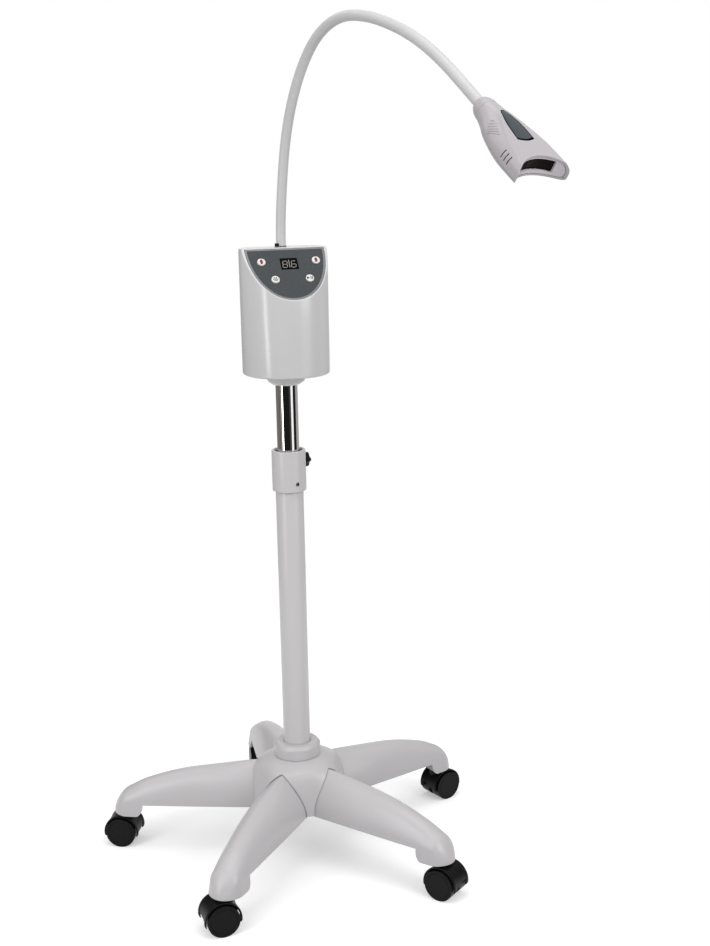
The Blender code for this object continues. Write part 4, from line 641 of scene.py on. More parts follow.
def shelled(name, shape, wall, rim):
    """An open skin that faces upwards, given a wall below it and rounded rims."""
    merged(shape)
    if sum((face.normal for face in shape.faces), Vector()).z < 0:
        bmesh.ops.reverse_faces(shape, faces=shape.faces)
    obj = moulded(name, shape)
    thickness = obj.modifiers.new("wall", "SOLIDIFY")
    thickness.thickness = wall
    thickness.offset = -1
    if rim:
        edge = obj.modifiers.new("rim", "BEVEL")
        edge.width = rim
        edge.segments = 2
        edge.limit_method = "ANGLE"
        edge.angle_limit = math.radians(60)
    return obj


def leg_mesh():
    cover = shelled("leg_form", skin([leg_ring(radius) for radius in leg_radii()], False, False), LEG_WALL,
                    LEG_EDGE_ROUND)
    top = LEG_UNDERSIDE + LEG_CROSS_WALL_LAP
    start = LEG_STEP_START + LEG_STEP_REACH * LEG_CROSS_WALL_SHARE
    half, crest, foot, edge = leg_station(start)
    wide = half + LEG_FLARE_SHARE * (foot - edge) - LEG_WALL / 2
    narrow = half * math.sqrt(1 - ((top - foot) / (crest - foot)) ** 2) - LEG_WALL / 2
    low = edge + LEG_EDGE_ROUND
    wall = skin([[(x, -wide, low), (x, wide, low), (x, narrow, top), (x, -narrow, top)]
                 for x in (start, start + LEG_WALL)])
    return baked(carve(cover, working("leg_cross_wall", wall), operation="UNION"))


def leg_place(index):
    return COLUMN @ turning(LEG_START + LEG_PITCH * index, "Z")


base_plastic = surface("base_plastic", BASE_COLOUR, 0.34, 0.0010, 0.000006, 0.015, cloud=0.09)
leg_form = leg_mesh()
for index in range(LEG_COUNT):
    show("leg_moulding_%d" % (index + 1), leg_form, base_plastic, "base", "base_white",
         "leg_cover_%d" % (index + 1), place=leg_place(index))

# Hub cover: a moulded bell that drops over the middle of the star and reaches down between the legs in five
# fingers. It is notched round each leg with a thin dark seam, and the collar holds it down.
HUB_COVER_CROWN = 0.0105
HUB_COVER_LIFT = 0.001
HUB_COVER_TOP = LEG_CREST_ROOT + HUB_COVER_CROWN
HUB_COVER_BOTTOM = LEG_UNDERSIDE + HUB_COVER_LIFT
HUB_COVER_SKIRT = 0.082
HUB_COVER_NECK = 0.034
HUB_COVER_WALL = 0.003
HUB_COVER_SHARES = [(0.0, 0.0, 0.0), (0.26, 0.07, 0.03), (0.54, 0.19, 0.07), (0.76, 0.45, 0.11),
                    (0.93, 0.80, 0.13), (1.0, 1.0, 0.13)]
HUB_COVER_SECTORS = 160
HUB_COVER_RINGS = 28
HUB_CLEARANCE_RINGS = 14
HUB_SEAM = 0.0012
HUB_CLEARANCE_REACH = 0.10
TUBE_RADIUS = (COLUMN_HIGH.x - COLUMN_LOW.x) / 2


def hub_cover_mesh():
    bore = TUBE_RADIUS + SEAM
    angles = [2 * math.pi * i / HUB_COVER_SECTORS for i in range(HUB_COVER_SECTORS)]
    rings = [[(bore * math.cos(a), bore * math.sin(a), HUB_COVER_TOP) for a in angles]]
    last = len(HUB_COVER_SHARES) - 1
    tables = [[(i / last, row[k]) for i, row in enumerate(HUB_COVER_SHARES)] for k in range(3)]
    for ring_index in range(HUB_COVER_RINGS + 1):
        out, down, dip = [eased(table, ring_index / HUB_COVER_RINGS) for table in tables]
        ring = []
        for angle in angles:
            wave = (1 - math.cos(LEG_COUNT * angle)) / 2
            radius = (HUB_COVER_NECK + (HUB_COVER_SKIRT - HUB_COVER_NECK) * out) * (1 - dip * wave)
            height = HUB_COVER_TOP - (HUB_COVER_TOP - HUB_COVER_BOTTOM) * down
            ring.append((radius * math.cos(angle), radius * math.sin(angle), height))
        rings.append(ring)
    cover = shelled("hub_form", skin(rings, True, False), HUB_COVER_WALL, 0)
    for index in range(LEG_COUNT):
        start = LEG_ROOT - 3 * HUB_SEAM
        radii = [start] + [LEG_ROOT + (HUB_CLEARANCE_REACH - LEG_ROOT) * k / HUB_CLEARANCE_RINGS
                           for k in range(HUB_CLEARANCE_RINGS + 1)]
        space = []
        for radius in radii:
            ring = leg_ring(max(radius, LEG_ROOT), HUB_SEAM)
            ring = [(radius, y, z) for _, y, z in ring]
            space.append(ring + [(radius, ring[-1][1], 0), (radius, ring[0][1], 0)])
        tool = working("leg_space_%d" % index, skin(space))
        tool.data.transform(turning(LEG_PITCH * index, "Z"))
        carve(cover, tool)
    return baked(cover)


show("hub_bell", hub_cover_mesh(), base_plastic, "base", "base_white", "hub_cover", place=leg_place(0))

# Collar: a moulded plastic ring in two steps that slides down the column. It closes the gap between the
# hub cover and the column, and holds the cover down.
COLLAR_LOW, COLLAR_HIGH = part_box("column_collar")
COLLAR_RADIUS = (COLLAR_HIGH.x - COLLAR_LOW.x) / 2
COLLAR_SHOULDER_RADIUS = 0.029
COLLAR_STEP = 0.0048
COLLAR_ROUND = 0.0011
COLUMN_STEPS = 128
collar_outline = rounded([(TUBE_RADIUS + SEAM, COLLAR_HIGH.z), (COLLAR_SHOULDER_RADIUS, COLLAR_HIGH.z),
                          (COLLAR_RADIUS, COLLAR_HIGH.z - COLLAR_STEP), (COLLAR_RADIUS, COLLAR_LOW.z),
                          (TUBE_RADIUS + SEAM, COLLAR_LOW.z)], COLLAR_ROUND, True, 6)
collar_form = turned("collar_form", collar_outline, COLUMN_STEPS, True)
show("column_ring", baked(collar_form), base_plastic, "base", "base_white",
     "column_collar", place=COLUMN)

# Column: a steel tube with pale grey paint, and a thick clamp sleeve pressed over its top. A black bush in
# the top guides the chromed tube, a set screw pins the sleeve, and the knob's stud clamps the chromed tube.
PAINT_COLOUR = (0.60, 0.585, 0.59)
CHROME_COLOUR = (0.90, 0.90, 0.90)
CHROME_STEPS = 160
TUBE_WALL = 0.0015
TUBE_ROUND = 0.0004
PLUG_HEIGHT = 0.008
BOLT_HOLE = 0.0043
SLEEVE_LOW, SLEEVE_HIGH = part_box("clamp_sleeve")
SLEEVE_RADIUS = (SLEEVE_HIGH.x - SLEEVE_LOW.x) / 2
SLEEVE_ROUND = 0.0015
BUSH_LOW, BUSH_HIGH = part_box("guide_bush")
CHROME_LOW, CHROME_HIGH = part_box("inner_tube")
CHROME_RADIUS = (CHROME_HIGH.x - CHROME_LOW.x) / 2
SCREW_ANGLE = math.radians(-75.0)
SCREW_RADIUS = 0.0025
SCREW_RISE = 0.0115
SCREW_PROUD = 0.0005
SCREW_SOCKET = 0.0013
SCREW_COLOUR = (0.10, 0.10, 0.11)
BUSH_FLANGE = 0.003
BUSH_ROUND = 0.0005
STUD_RADIUS = 0.003


def circle(x, y, radius, steps=24):
    return [(x + radius * math.cos(2 * math.pi * k / steps), y + radius * math.sin(2 * math.pi * k / steps))
            for k in range(steps)]


def facing(point, direction):
    """A place whose local Z points along a direction."""
    return Matrix.Translation(point) @ Vector(direction).to_track_quat("Z", "Y").to_matrix().to_4x4()


def stud_way():
    way = rod("stud_way", STUD_RADIUS + RUN_GAP, SLEEVE_RADIUS + TUBE_RADIUS, CHROME_RADIUS / 2, BORE_STEPS)
    way.data.transform(KNOB_PLACE)
    return way


KNOB_AXIS = Vector(joints["knob_turn"]["axis"])
KNOB_PLACE = facing((COLUMN_X, COLUMN_Y, joints["knob_turn"]["pos_m"][2]), KNOB_AXIS)
painted_steel = surface("painted_steel", PAINT_COLOUR, 0.33, 0.0012, 0.000005, 0.010, cloud=0.12)
bright_chrome = surface("bright_chrome", CHROME_COLOUR, 0.055, 0.0006, 0.0000003, 0.01, 1.0,
                        stretch=(1, 1, 0.06))

inside = TUBE_RADIUS - TUBE_WALL
tube_outline = [(TUBE_RADIUS, COLUMN_HIGH.z), (TUBE_RADIUS, COLUMN_LOW.z), (BOLT_HOLE, COLUMN_LOW.z),
                (BOLT_HOLE, COLUMN_LOW.z + PLUG_HEIGHT), (inside, COLUMN_LOW.z + PLUG_HEIGHT),
                (inside, COLUMN_HIGH.z)]
tube_form = turned("tube_form", rounded(tube_outline, TUBE_ROUND, True, 2), COLUMN_STEPS, True, COLUMN)
show("painted_tube", baked(carve(tube_form, stud_way())), painted_steel, "base", "column_white", "outer_tube")

bore = TUBE_RADIUS + SEAM
sleeve_outline = [(bore, SLEEVE_HIGH.z), (SLEEVE_RADIUS, SLEEVE_HIGH.z), (SLEEVE_RADIUS, SLEEVE_LOW.z),
                  (bore, SLEEVE_LOW.z)]
sleeve_form = turned("sleeve_form", rounded(sleeve_outline, SLEEVE_ROUND, True, 5), COLUMN_STEPS, True,
                     COLUMN)
screw_place = (COLUMN @ Matrix.Translation((0, 0, SLEEVE_LOW.z + SCREW_RISE)) @ turning(SCREW_ANGLE, "Z")
               @ turning(math.pi / 2, "Y"))
screw_way = rod("screw_way", SCREW_RADIUS + SEAM, SLEEVE_RADIUS * 2, TUBE_RADIUS / 2, BORE_STEPS)
screw_way.data.transform(screw_place)
show("clamp_ring", baked(carve(sleeve_form, stud_way(), screw_way)), painted_steel, "base", "column_white",
     "clamp_sleeve")

screw_top = SLEEVE_RADIUS + SCREW_PROUD
screw = turned("screw_form", rounded([(0, screw_top), (SCREW_RADIUS, screw_top), (SCREW_RADIUS, bore),
                                      (0, bore)], TUBE_ROUND), SMALL_STEPS)
carve(screw, slab("screw_socket", circle(0, 0, SCREW_SOCKET, 6), screw_top - SCREW_SOCKET,
                  screw_top + SCREW_SOCKET))
dark_steel = surface("dark_steel", SCREW_COLOUR, 0.35, 0.0003, 0.00001, 0.05, 1.0)
show("sleeve_grub_screw", baked(screw), dark_steel, "base", "steel", "sleeve_screw", place=screw_place)

bush_bore = CHROME_RADIUS + RUN_GAP
bush_outer = inside - SEAM
flange_low = BUSH_HIGH.z - BUSH_FLANGE
bush_outline = [(bush_bore, BUSH_HIGH.z), (TUBE_RADIUS - SEAM, BUSH_HIGH.z),
                (TUBE_RADIUS - SEAM, flange_low), (bush_outer, flange_low), (bush_outer, BUSH_LOW.z),
                (bush_bore, BUSH_LOW.z)]
bush_form = turned("bush_form", rounded(bush_outline, BUSH_ROUND, True, 3), ROUND_STEPS, True, COLUMN)
show("column_bush", baked(carve(bush_form, stud_way())), black_nylon, "base", "black_plastic", "guide_bush")

chrome_bore = CHROME_RADIUS - TUBE_WALL
chrome_outline = [(CHROME_RADIUS, CHROME_HIGH.z), (CHROME_RADIUS, CHROME_LOW.z),
                  (chrome_bore, CHROME_LOW.z), (chrome_bore, CHROME_HIGH.z)]
chrome_form = turned("chrome_form", rounded(chrome_outline, TUBE_ROUND, True, 3), CHROME_STEPS, True,
                     COLUMN)
show("chrome_tube", baked(chrome_form), bright_chrome, "mast", "chrome", "inner_tube")

# Clamp knob: a black moulded knob with six lobes and a dished face, moulded on a threaded steel stud. The
# stud goes through the sleeve, the painted tube and the bush, and presses on the chromed tube.
KNOB_LOBES = 6
KNOB_LOBE = 0.0010
KNOB_RADIUS = 0.0112
KNOB_THICKNESS = 0.008
KNOB_NECK_RADIUS = 0.0055
KNOB_NECK_LENGTH = 0.003
KNOB_DISH = 0.0065
KNOB_DISH_SLOPE = 0.001
KNOB_DISH_DEPTH = 0.0008
KNOB_LAP = 0.001
KNOB_RIM = 0.0014
KNOB_LOBE_STEPS = 16
MIDDLE_STEPS = 64
knob_low = SLEEVE_RADIUS + SEAM + KNOB_NECK_LENGTH
knob_high = knob_low + KNOB_THICKNESS
lobes = []
for i in range(KNOB_LOBES * KNOB_LOBE_STEPS):
    angle = 2 * math.pi * i / (KNOB_LOBES * KNOB_LOBE_STEPS)
    radius = KNOB_RADIUS - KNOB_LOBE + KNOB_LOBE * math.cos(KNOB_LOBES * angle)
    lobes.append((radius * math.cos(angle), radius * math.sin(angle)))
knob = slab("knob_form", lobes, knob_low, knob_high, rim=KNOB_RIM, rim_steps=4)
dish_floor = knob_high - KNOB_DISH_DEPTH
dish_outline = [(0, knob_high + KNOB_LAP), (KNOB_DISH, knob_high + KNOB_LAP),
                (KNOB_DISH - KNOB_DISH_SLOPE, dish_floor), (0, dish_floor)]
dish = turned("knob_dish", rounded(dish_outline, TUBE_ROUND), MIDDLE_STEPS)
stud_outline = [(0, knob_low + KNOB_LAP), (KNOB_NECK_RADIUS, knob_low + KNOB_LAP),
                (KNOB_NECK_RADIUS, SLEEVE_RADIUS + SEAM), (STUD_RADIUS, SLEEVE_RADIUS + SEAM),
                (STUD_RADIUS, CHROME_RADIUS + SEAM), (0, CHROME_RADIUS + SEAM)]
carve(knob, dish)
carve(knob, turned("knob_stud", rounded(stud_outline, TUBE_ROUND), SMALL_STEPS), operation="UNION")
show("knob_moulding", baked(knob), black_nylon, "knob", "black_plastic", "clamp_knob", place=KNOB_PLACE)

# Box flange: a dished boss under the control box, moulded in the same plastic. Its socket stands up through
# the floor of the box, and takes the top of the chromed tube.
SHELL_COLOUR = (0.62, 0.615, 0.62)
FLANGE_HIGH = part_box("box_flange")[1]
BOX_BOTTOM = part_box("housing_front")[0].z
FLANGE_RADIUS = 0.028
FLANGE_HEIGHT = 0.0152
FLANGE_FOOT_RADIUS = 0.0185
FLANGE_ROUND = 0.0016
FLANGE_SHARES = ((1.0, 0.0), (0.975, 0.30), (0.87, 0.72))
SOCKET_WALL = 0.0035
SOCKET_OUTER = CHROME_RADIUS + SEAM + SOCKET_WALL
flange_top = BOX_BOTTOM - SEAM
flange_outline = [(0, FLANGE_HIGH.z), (SOCKET_OUTER, FLANGE_HIGH.z), (SOCKET_OUTER, flange_top)]
flange_outline += [(FLANGE_RADIUS * out, flange_top - FLANGE_HEIGHT * down) for out, down in FLANGE_SHARES]
flange_outline += [(FLANGE_FOOT_RADIUS, flange_top - FLANGE_HEIGHT),
                   (CHROME_RADIUS + SEAM, flange_top - FLANGE_HEIGHT),
                   (CHROME_RADIUS + SEAM, CHROME_HIGH.z + SEAM), (0, CHROME_HIGH.z + SEAM)]
shell_plastic = surface("shell_plastic", SHELL_COLOUR, 0.20, 0.0009, 0.000006, 0.012, cloud=0.08)
flange_form = turned("flange_form", rounded(flange_outline, FLANGE_ROUND, False, 5), COLUMN_STEPS)
show("flange_boss", baked(flange_form), shell_plastic, "control_box", "shell_white", "box_flange",
     place=COLUMN)

# Control box: two moulded shells that meet in an upright seam, the front one cut off by a slope for the
# panel. The walls are 2.5 mm thick, and the outer edges are rounded. The posts inside the front shell, which
# carry the board, aren't shown.
BOX_PLACE = COLUMN @ Matrix.Translation((0, 0, BOX_BOTTOM))
BOX_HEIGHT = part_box("housing_front")[1].z - BOX_BOTTOM
BOX_HALF_WIDTH = 0.058
BOX_FRONT_DEPTH = 0.062
BOX_BACK_DEPTH = 0.033
BOX_BACK_CURVE_DEPTH = 0.035
BOX_PARTING = -0.002
BOX_WALL = 0.0025
BOX_EDGE = 0.003
SLOPE_EDGE = 0.0008
BOX_STEPS = 72
OVERRUN = 0.02
SHORT_OVERRUN = 0.01
BOX_FRONT_POWER = 2.1
BOX_BACK_POWER = 3.2
PANEL_TOP_Y = -0.0075
PANEL_SLANT = math.radians(41.0)
PANEL_HALF_WIDTH = 0.0535
PANEL_LENGTH = 0.0825
PANEL_TOP_INSET = 0.0015
PANEL_POWER = 2.1
PANEL_THICKNESS = 0.003
PANEL_STEPS = 72
FILM_BORDER = 0.003
FILM_THICKNESS = 0.0006
KEY_RADIUS = 0.0055
KEY_CAP = 0.0031
KEY_PROUD = 0.0016
KEY_STEM_RADIUS = 0.0030
KEY_ROOM = 0.0005
DISPLAY_WIDTH = 0.0230
DISPLAY_HEIGHT = 0.0177
DISPLAY_DROP = 0.0268
KEY_SHIFT = 0.0022
BOARD_DEPTH = 0.0125
INLET_X = -0.020
ROCKER_X = 0.018
INLET_Z = 0.030
INLET_HALF = 0.011
INLET_TALL = 0.0075
ROCKER_HALF = 0.006
ROCKER_RADIUS = 0.009
HOSE_RADIUS = 0.00675
HOSE_ROOM = 0.001
HOSE_X = 0.0023
HOSE_Y = 0.0162
HOSE_FOOT = Matrix.Translation((HOSE_X, HOSE_Y, 0))
SLOPE = Matrix.Translation((0, PANEL_TOP_Y, BOX_HEIGHT)) @ turning(math.pi / 2 - PANEL_SLANT, "X")
PANEL_PLACE = BOX_PLACE @ SLOPE
KEYS = {name: PANEL_PLACE.inverted() @ Vector(joints[name + "_press"]["pos_m"])
        for name in ("key_upper_left", "key_upper_right", "key_lower_left", "key_lower_right")}


def box_outline(inset, behind, back):
    """The plan of one shell: a curved wall, closed by a straight line along or behind the seam."""
    power = BOX_BACK_POWER if back else BOX_FRONT_POWER
    depth = BOX_BACK_CURVE_DEPTH if back else BOX_FRONT_DEPTH
    points = []
    for i in range(1, BOX_STEPS):
        angle = math.pi * i / BOX_STEPS
        x = (BOX_HALF_WIDTH - inset) * bowed(math.cos(angle), 2 / power)
        curve = (depth - inset) * bowed(math.sin(angle), 2 / power)
        y = min(curve, BOX_BACK_DEPTH - inset) if back else -curve
        points.append((x, BOX_PARTING + y))
    seam = BOX_PARTING + (-behind if back else behind)
    return points + [(-BOX_HALF_WIDTH + inset, seam), (BOX_HALF_WIDTH - inset, seam)]


def panel_outline(inset):
    """The half-oval of the panel on the slope: x across and y up the slope."""
    points = []
    for i in range(PANEL_STEPS + 1):
        angle = math.pi * i / PANEL_STEPS
        x = (PANEL_HALF_WIDTH - inset) * bowed(math.cos(angle), 2 / PANEL_POWER)
        y = (PANEL_LENGTH - inset) * bowed(math.sin(angle), 2 / PANEL_POWER)
        points.append((x, -PANEL_TOP_INSET - max(y, inset)))
    return points


def block(name, low, high, place=None):
    corners = [(low[0], low[1]), (high[0], low[1]), (high[0], high[1]), (low[0], high[1])]
    return slab(name, corners, low[2], high[2], place)


def rimmed(obj, width, steps, chosen):
    """Round those edges of a working object that the test picks."""
    mesh = baked(obj)
    shape = bmesh.new()
    shape.from_mesh(mesh)
    edges = [e for e in shape.edges if len(e.link_faces) == 2 and chosen(e)]
    bmesh.ops.bevel(shape, geom=edges, offset=width, segments=steps, affect="EDGES", profile=0.5)
    shape.to_mesh(mesh)
    shape.free()
    return placed(mesh.name + "_rimmed", mesh)


def on_seam(edge, seam):
    return all(abs(v.co.y - seam) < SEAM / 4 for v in edge.verts)


def key_ways(name, radius, low):
    """Round cutters for the four keys, through the slope."""
    return [rod("%s_%s" % (name, key), radius, OVERRUN, low, SMALL_STEPS,
                SLOPE @ Matrix.Translation((spot.x, spot.y, 0))) for key, spot in KEYS.items()]


def display_way(name, low):
    """A cutter for the display, a seam wider all round, through the slope."""
    half, tall = DISPLAY_WIDTH / 2 + SEAM, DISPLAY_HEIGHT / 2 + SEAM
    return block(name, (KEY_SHIFT - half, -DISPLAY_DROP - tall, low),
                 (KEY_SHIFT + half, -DISPLAY_DROP + tall, OVERRUN), SLOPE)


def back_way(name, x, half_x, half_z, room):
    """A square cutter for a fitting in the back wall."""
    face = BOX_PARTING + BOX_BACK_DEPTH
    return block(name, (x - half_x - room, face - SHORT_OVERRUN, INLET_Z - half_z - room),
                 (x + half_x + room, face + SHORT_OVERRUN, INLET_Z + half_z + room))


def box_shell(back):
    side = "back" if back else "front"
    seam = BOX_PARTING + (SEAM / 2 if back else -SEAM / 2)
    shell = slab(side + "_form", box_outline(0, -SEAM / 2, back), 0, BOX_HEIGHT)
    shell = rimmed(shell, BOX_EDGE, 5, lambda e: abs(e.verts[0].co.z - e.verts[1].co.z) < MERGE
                   and e.calc_face_angle() > math.radians(60) and not on_seam(e, seam))
    hollow = slab(side + "_hollow", box_outline(BOX_WALL, SHORT_OVERRUN, back), BOX_WALL,
                  BOX_HEIGHT - BOX_WALL)
    if not back:
        far = BOX_HALF_WIDTH * 2
        floor_depth = PANEL_THICKNESS + SEAM
        carve(shell, block("slope_cut", (-far, -BOX_HEIGHT, 0), (far, BOX_HEIGHT, BOX_HEIGHT), SLOPE))
        slope_normal = SLOPE.to_3x3() @ Vector((0, 0, 1))
        shell = rimmed(shell, SLOPE_EDGE, 3, lambda e: e.calc_face_angle() > math.radians(20)
                       and not on_seam(e, seam)
                       and max(f.normal.dot(slope_normal) for f in e.link_faces) > 0.9999)
        carve(hollow, block("hollow_slope", (-far, -BOX_HEIGHT, -floor_depth - BOX_WALL),
                            (far, BOX_HEIGHT, BOX_HEIGHT), SLOPE))
        hollow = placed("front_hollow", baked(hollow))
        carve(shell, hollow, slab("panel_pocket", panel_outline(-SEAM), -floor_depth, OVERRUN, SLOPE),
              display_way("display_opening", -BOARD_DEPTH),
              *key_ways("key_opening", KEY_STEM_RADIUS + KEY_ROOM, -BOARD_DEPTH))
    else:
        carve(shell, hollow, rod("hose_opening", HOSE_RADIUS + HOSE_ROOM, BOX_HEIGHT + SHORT_OVERRUN,
                                 BOX_HEIGHT - SHORT_OVERRUN, MIDDLE_STEPS, HOSE_FOOT),
              back_way("inlet_opening", INLET_X, INLET_HALF, INLET_TALL, SEAM),
              back_way("rocker_opening", ROCKER_X, ROCKER_HALF, ROCKER_RADIUS, KEY_ROOM))
    carve(shell, rod(side + "_socket_opening", SOCKET_OUTER + SEAM, SHORT_OVERRUN, -SHORT_OVERRUN))
    return baked(shell)


for side, back in (("front", False), ("back", True)):
    show("box_%s_shell" % side, box_shell(back), shell_plastic, "control_box", "shell_white",
         "housing_" + side, place=BOX_PLACE)

# Panel: a grey moulded plate let into the slope, whose rim shows as a lighter border round a dark printed
# film. The film lies in a shallow pocket of the plate. Both are open for the display and the keys.
BORDER_COLOUR = (0.20, 0.20, 0.215)
FILM_COLOUR = (0.040, 0.046, 0.049)
BORDER_RIM = 0.0006
border_plastic = surface("border_plastic", BORDER_COLOUR, 0.38, 0.0005, 0.00001, 0.03)
printed_film = surface("printed_film", FILM_COLOUR, 0.46, 0.0006, 0.000030, 0.10, cloud=0.003, shine=0.32)

plate = slab("plate_form", panel_outline(0), -PANEL_THICKNESS, 0, SLOPE, rim=BORDER_RIM)
carve(plate, slab("film_pocket", panel_outline(FILM_BORDER - SEAM), -FILM_THICKNESS, OVERRUN, SLOPE),
      display_way("plate_display_opening", -OVERRUN),
      *key_ways("plate_key_opening", KEY_RADIUS + KEY_ROOM, -OVERRUN))
show("panel_plate", baked(plate), border_plastic, "control_box", "panel_border", "control_panel",
     place=BOX_PLACE)
film_low = -FILM_THICKNESS + SEAM / 2
film = slab("film_form", panel_outline(FILM_BORDER), film_low, film_low + FILM_THICKNESS, SLOPE)
carve(film, display_way("film_display_opening", -OVERRUN),
      *key_ways("film_key_opening", KEY_RADIUS + KEY_ROOM, -OVERRUN))
show("panel_sheet", baked(film), printed_film, "control_box", "panel_film", "panel_film", place=BOX_PLACE)

# Display: a block of dark glass behind the film's opening with two digits of seven pale segments, and a
# thin line between them. The board behind the panel carries it and the key switches.
GLASS_COLOUR = (0.003, 0.003, 0.003)
SEGMENT_COLOUR = (0.33, 0.31, 0.28)
BOARD_COLOUR = (0.05, 0.20, 0.10)
SUPPLY_COLOUR = (0.03, 0.03, 0.032)
DISPLAY_TOP = FILM_THICKNESS / 2
DIGIT_WIDTH = 0.0060
DIGIT_HEIGHT = 0.0101
DIGIT_APART = 0.0116
DIGIT_SINK = 0.0008
DIGIT_SLANT_SHARE = 0.10
SEGMENT_WIDTH = 0.00085
SEGMENT_GAP = 0.00035
SEGMENT_PROUD = 0.00006
SEPARATOR_SHARE = 0.75
DISPLAY_ROUND = 0.0005
DISPLAY_RIM = 0.0001
SEGMENTS = {"8": (1, 1, 1, 1, 1, 1, 1), "6": (1, 0, 1, 1, 1, 1, 1)}


def dark_window(name, colour, roughness, shine=0.5):
    return surface(name, colour, roughness, 0.004, 0.000001, 0.10, shine=shine)


def printed(name, outlines, height, proud):
    """Flat marks that stand a hair over and under a height, as one thin mesh."""
    marks = bmesh.new()
    for outline in outlines:
        part = skin([[(x, y, height + side * proud) for x, y in outline] for side in (-1, 1)])
        holder = bpy.data.meshes.new(name)
        part.to_mesh(holder)
        part.free()
        marks.from_mesh(holder)
        bpy.data.meshes.remove(holder)
    return baked(working(name, marks))


def segment(start, end):
    """One bar of a digit with pointed ends."""
    along = (Vector(end) - Vector(start)).normalized()
    side = Vector((-along.y, along.x)) * SEGMENT_WIDTH / 2
    first, last = Vector(start) + along * SEGMENT_GAP, Vector(end) - along * SEGMENT_GAP
    near = along * SEGMENT_WIDTH / 2
    return [first, first + near - side, last - near - side, last, last - near + side, first + near + side]


def digit_bars(value, centre):
    half, tall = DIGIT_WIDTH / 2, DIGIT_HEIGHT / 2
    middle = -DISPLAY_DROP - DIGIT_SINK
    corners = {(x, y): (centre + x * half + y * tall * DIGIT_SLANT_SHARE, middle + y * tall)
               for x in (-1, 1) for y in (-1, 0, 1)}
    ends = (((-1, 1), (1, 1)), ((1, 1), (1, 0)), ((1, 0), (1, -1)), ((-1, -1), (1, -1)),
            ((-1, 0), (-1, -1)), ((-1, 1), (-1, 0)), ((-1, 0), (1, 0)))
    return [segment(corners[a], corners[b]) for lit, (a, b) in zip(SEGMENTS[value], ends) if lit]


display_glass = dark_window("display_glass", GLASS_COLOUR, 0.20, 0.02)
segment_ink = surface("segment_ink", SEGMENT_COLOUR, 0.5, 0.0004, 0.000002)
half, line = DISPLAY_WIDTH / 2, DISPLAY_HEIGHT / 2
display_corners = rounded([(KEY_SHIFT + x * half, -DISPLAY_DROP + y * line)
                           for x, y in ((-1, -1), (1, -1), (1, 1), (-1, 1))], DISPLAY_ROUND, True)
display = slab("display_form", display_corners, -BOARD_DEPTH + SEAM, DISPLAY_TOP, SLOPE, rim=DISPLAY_RIM)
show("display_block", baked(display), display_glass, "control_box", "dark_glass", "display_window",
     place=BOX_PLACE)
bars = digit_bars("8", KEY_SHIFT - DIGIT_APART / 2) + digit_bars("6", KEY_SHIFT + DIGIT_APART / 2)
line *= SEPARATOR_SHARE
bars.append(segment((KEY_SHIFT, -DISPLAY_DROP + line), (KEY_SHIFT, -DISPLAY_DROP - line)))
show("display_digits", printed("digits_form", bars, DISPLAY_TOP, SEGMENT_PROUD), segment_ink, "control_box",
     "button_white", place=PANEL_PLACE)
board_green = surface("board_green", BOARD_COLOUR, 0.42, 0.0015, 0.00004, 0.25, cloud=0.004)
dress("circuit_board", board_green)
dress("power_supply", surface("supply_case", SUPPLY_COLOUR, 0.5, 0.0012, 0.00004, 0.10))

# Keys: four white silicone caps with printed marks, red bars on the upper two, a green fan and a black play
# mark on the lower two. Each stands through the panel on a stem that presses a switch on the board.
KEY_COLOUR = (0.74, 0.73, 0.72)
KEY_SWITCH_HEIGHT = 0.0006
KEY_ROUND = 0.0008
KEY_LOW = -BOARD_DEPTH + SEAM + KEY_SWITCH_HEIGHT + RUN_GAP
MARK_PROUD = 0.00008
RED_INK = (0.19, 0.004, 0.012)
GREEN_INK = (0.005, 0.06, 0.03)
BLACK_INK = (0.012, 0.012, 0.013)
FAN_BLADES = 6
FAN_REACH = 0.0036
FAN_HUB = 0.0009
MARK_ROUND = 0.0006


def fan_blade(angle):
    blade = [(FAN_HUB, -FAN_REACH * 0.10)]
    blade += [(FAN_REACH * x, FAN_REACH * y)
              for x, y in ((0.6, -0.22), (1.0, -0.20), (0.94, 0.22), (0.5, 0.14))]
    return [(x * math.cos(angle) - y * math.sin(angle), x * math.sin(angle) + y * math.cos(angle))
            for x, y in blade]


red_bar = rounded([(-0.0014, -0.0036), (0.0013, -0.0034), (0.0019, -0.0006), (0.0017, 0.0014),
                   (0.0011, 0.0034), (-0.0014, 0.0033), (-0.0020, 0.0008)], MARK_ROUND, True)
play = [(-0.0042, -0.0023), (-0.0003, 0.0), (-0.0042, 0.0023)]
pauses = [[(x, -0.0022), (x + 0.0011, -0.0022), (x + 0.0011, 0.0022), (x, 0.0022)] for x in (0.0007, 0.0028)]
fan = [circle(0, 0, FAN_HUB * 0.8)] + [fan_blade(2 * math.pi * k / FAN_BLADES) for k in range(FAN_BLADES)]
MARKS = {"key_upper_left": ("red_ink", RED_INK, [red_bar]),
         "key_upper_right": ("red_ink", RED_INK, [red_bar]),
         "key_lower_left": ("green_ink", GREEN_INK, fan),
         "key_lower_right": ("black_ink", BLACK_INK, [play] + pauses)}
key_silicone = surface("key_silicone", KEY_COLOUR, 0.42, 0.0003, 0.000006, 0.02)
inks = {name: surface(name, colour, 0.5, 0.0003, 0.000002) for name, colour, _ in MARKS.values()}
key_outline = [(0, KEY_PROUD), (KEY_RADIUS, KEY_PROUD), (KEY_RADIUS, KEY_PROUD - KEY_CAP),
               (KEY_STEM_RADIUS, KEY_PROUD - KEY_CAP), (KEY_STEM_RADIUS, KEY_LOW), (0, KEY_LOW)]
key_form = baked(turned("key_form", rounded(key_outline, KEY_ROUND, False, 5), MIDDLE_STEPS))
